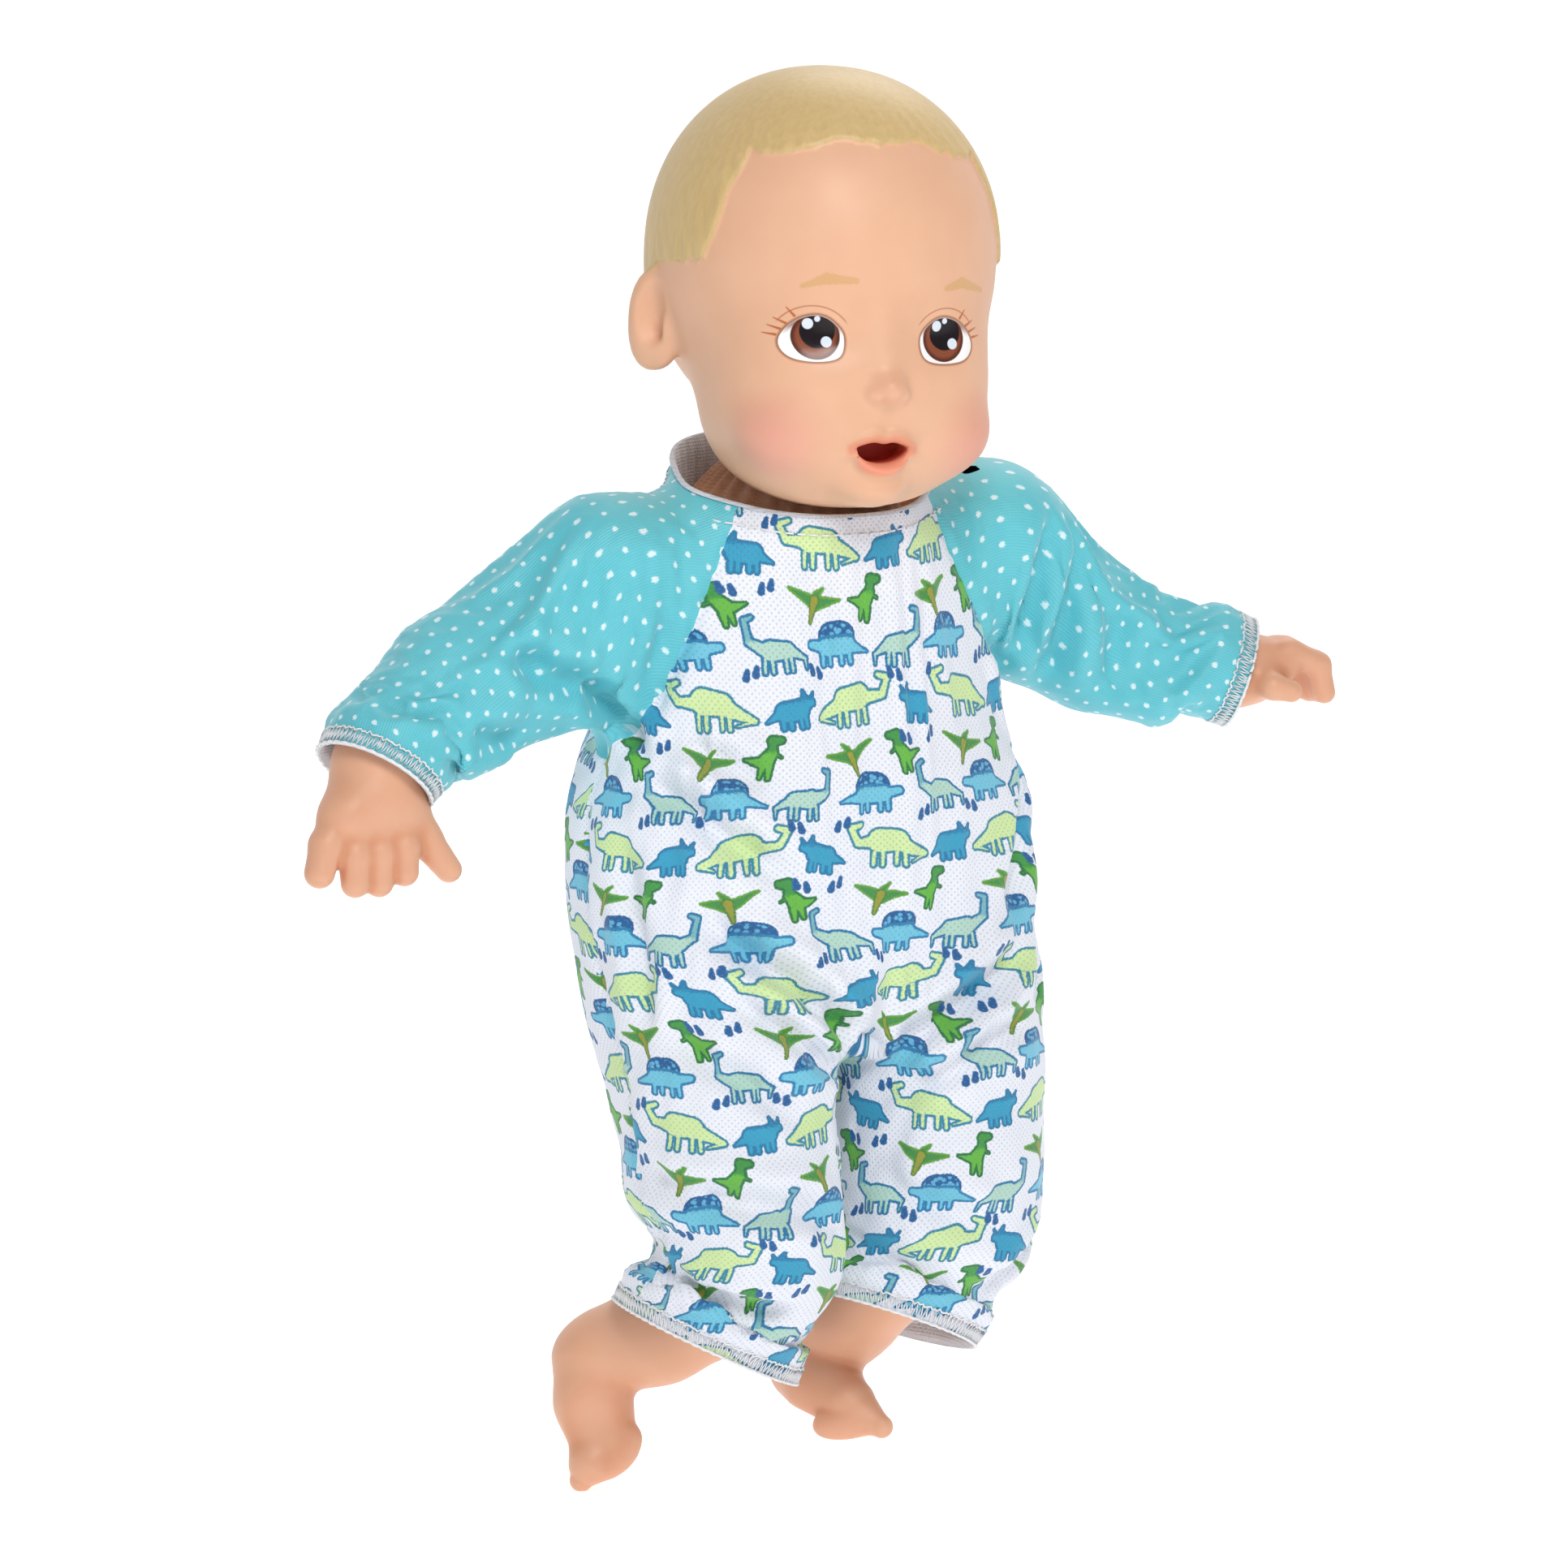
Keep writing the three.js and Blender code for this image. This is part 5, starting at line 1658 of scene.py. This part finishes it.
def brushed_steel():
    g = Graph("steel")
    x, y, z = g.split(g.object_place())
    lines = g.noise(g.join(x * 4000, y * 300, z * 300), 1, 2)
    tone = g.mix(lines, srgb(168, 170, 174), srgb(205, 206, 210))
    g.set(Base_Color=tone, Roughness=0.28 + lines * 0.15, Metallic=1.0)
    g.bump(lines, 0.02 * MM, 0.4)
    return g.material


def board_material():
    g = Graph("circuit_board")
    place = g.object_place()
    tracks = g.node("ShaderNodeTexBrick", offset=0.5)
    g.feed(tracks.inputs["Vector"], place)
    tracks.inputs["Scale"].default_value = 260
    tracks.inputs["Mortar Size"].default_value = 0.03
    line = Value(g, tracks.outputs["Fac"])
    g.set(Base_Color=g.mix(line, srgb(30, 96, 62), srgb(60, 130, 84)), Roughness=0.4)
    g.bump(line, 0.04 * MM, 0.6)
    return g.material


def thread_material():
    g = Graph("overlock_thread")
    place = g.object_place()
    x, y, z = g.split(place)
    twist = g.math("SINE", (x + y * 1.3 + z * 0.8) * (2 * math.pi / (0.5 * MM)))
    fuzz = g.noise(place, 1500, 2)
    g.set(Base_Color=g.mix(fuzz, srgb(226, 228, 232), srgb(246, 246, 248)), Roughness=0.7, Sheen_Weight=0.3)
    g.bump(twist * 0.5 + fuzz, 0.06 * MM, 0.6)
    return g.material


def finish_frame_nodes(finishes):
    for part in frame["record"]["subparts"]:
        node = frame["nodes"][part["node"]]
        finish = finishes[part["material_slot"]]
        if not node.material_slots:
            continue
        for place in node.material_slots:
            place.material = finish


# ---- Floor, light and camera ----
CAMERA_TURN = -30
CAMERA_RISE = 8
CAMERA_TARGET = vec(-2.4, 1.4, 174.9)
CAMERA_DISTANCE = 2147
CAMERA_LENS = 200


def facing_from(azimuth, rise):
    """Direction from the doll towards a viewer; azimuth 0 looks along +Y."""
    a, e = math.radians(azimuth), math.radians(rise)
    return vec(math.sin(a) * math.cos(e), -math.cos(a) * math.cos(e), math.sin(e))


def look_at(obj, target):
    obj.rotation_euler = (Vector(to_frame(target)) - obj.location).to_track_quat("-Z", "Y").to_euler()


def add_light(name, azimuth, rise, distance, size, watts, colour=(1, 1, 1)):
    lamp = bpy.data.lights.new(name, "AREA")
    lamp.shape = "DISK"
    lamp.size = size * MM
    lamp.energy = watts
    lamp.color = colour
    made = bpy.data.objects.new(name, lamp)
    made.location = to_frame(vec(0, 0, 170) + facing_from(azimuth, rise) * distance)
    bpy.context.scene.collection.objects.link(made)
    look_at(made, (0, 0, 170))


def floor_material():
    g = Graph("floor")
    place = g.object_place()
    cloud = g.noise(place, 3, 3)
    g.set(Base_Color=g.mix(cloud, srgb(240, 240, 240), srgb(247, 247, 248)), Roughness=0.62 + cloud * 0.08)
    g.set(Emission_Color=(1, 1, 1, 1), Emission_Strength=0.55)
    g.bump(g.noise(place, 700, 2), 0.05 * MM, 0.3)
    return g.material


def make_stage():
    """A pale floor that curves up into a backdrop behind the doll."""
    back, radius = 1500, 500
    curve = [(-4200, 0), (back - radius, 0)]
    for turn in range(1, 13):
        angle = math.radians(turn * 90 / 12)
        curve.append((back - radius + radius * math.sin(angle), radius - radius * math.cos(angle)))
    curve.append((back, 3200))
    away = -facing_from(CAMERA_TURN, 0)
    across = vec(away[1], -away[0], 0)
    points = [away * y + across * x + vec(0, 0, z) for y, z in curve for x in (-3500, 3500)]
    floor_height = to_doll(np.array(CAD_BOX[0]))[2]
    faces = [(2 * i, 2 * i + 1, 2 * i + 3, 2 * i + 2) for i in range(len(curve) - 1)]
    floor = new_object("floor", np.array(points) + vec(0, 0, floor_height), faces, floor_material())
    world = bpy.data.worlds.new("studio")
    world.use_nodes = True
    world.node_tree.nodes["Background"].inputs["Color"].default_value = (0.93, 0.96, 1, 1)
    world.node_tree.nodes["Background"].inputs["Strength"].default_value = 0.3
    bpy.context.scene.world = world
    add_light("key", CAMERA_TURN + 12, 42, 950, 420, 4.7, (1, 0.985, 0.96))
    add_light("fill", CAMERA_TURN - 55, 20, 1000, 700, 0.35, (0.96, 0.98, 1))
    add_light("rim", CAMERA_TURN + 165, 50, 900, 500, 1.6)
    camera = bpy.data.objects.new("camera", bpy.data.cameras.new("camera"))
    camera.data.lens = CAMERA_LENS
    camera.data.clip_end = 20
    camera.location = to_frame(CAMERA_TARGET + facing_from(CAMERA_TURN, CAMERA_RISE) * CAMERA_DISTANCE)
    bpy.context.scene.collection.objects.link(camera)
    look_at(camera, CAMERA_TARGET)
    bpy.context.scene.camera = camera
    bpy.context.scene.view_settings.view_transform = "Standard"


# ---- The whole doll ----
make_head(head_material())
make_limbs(limb_material())
thread = thread_material()
print_knit = print_material()
aqua_knit = aqua_material()
skin_cloth = knit_cloth("skin_cloth", (205, 150, 116), (222, 170, 134), 0.8)
romper = make_romper(print_knit, aqua_knit)
inner_cloth = knit_cloth("inner_cloth", (206, 214, 224), (228, 232, 240), 0.8)
finish_openings(romper, thread, inner_cloth)
make_neckline(romper, thread, inner_cloth)
make_neck(skin_cloth, thread)
nylon = knit_cloth("nylon", (232, 234, 238), (246, 246, 248), 0.5)
make_closure(romper["bodice"], thread, nylon)
finish_frame_nodes({
    "skin_vinyl": moulded("plug_vinyl", (224, 176, 142), (232, 186, 152), 0.5),
    "body_cloth": skin_cloth,
    "stuffing": knit_cloth("stuffing", (236, 236, 232), (248, 248, 246), 1.6),
    "print_knit": print_knit,
    "aqua_knit": aqua_knit,
    "overlock_thread": thread,
    "nylon": nylon,
    "white_plastic": moulded("white_plastic", (232, 232, 228), (242, 242, 240), 0.42),
    "grey_plastic": moulded("grey_plastic", (96, 98, 102), (112, 114, 118), 0.5),
    "red_plastic": moulded("red_plastic", (196, 44, 40), (210, 58, 50), 0.42),
    "steel": brushed_steel(),
    "circuit_board": board_material(),
})
make_stage()
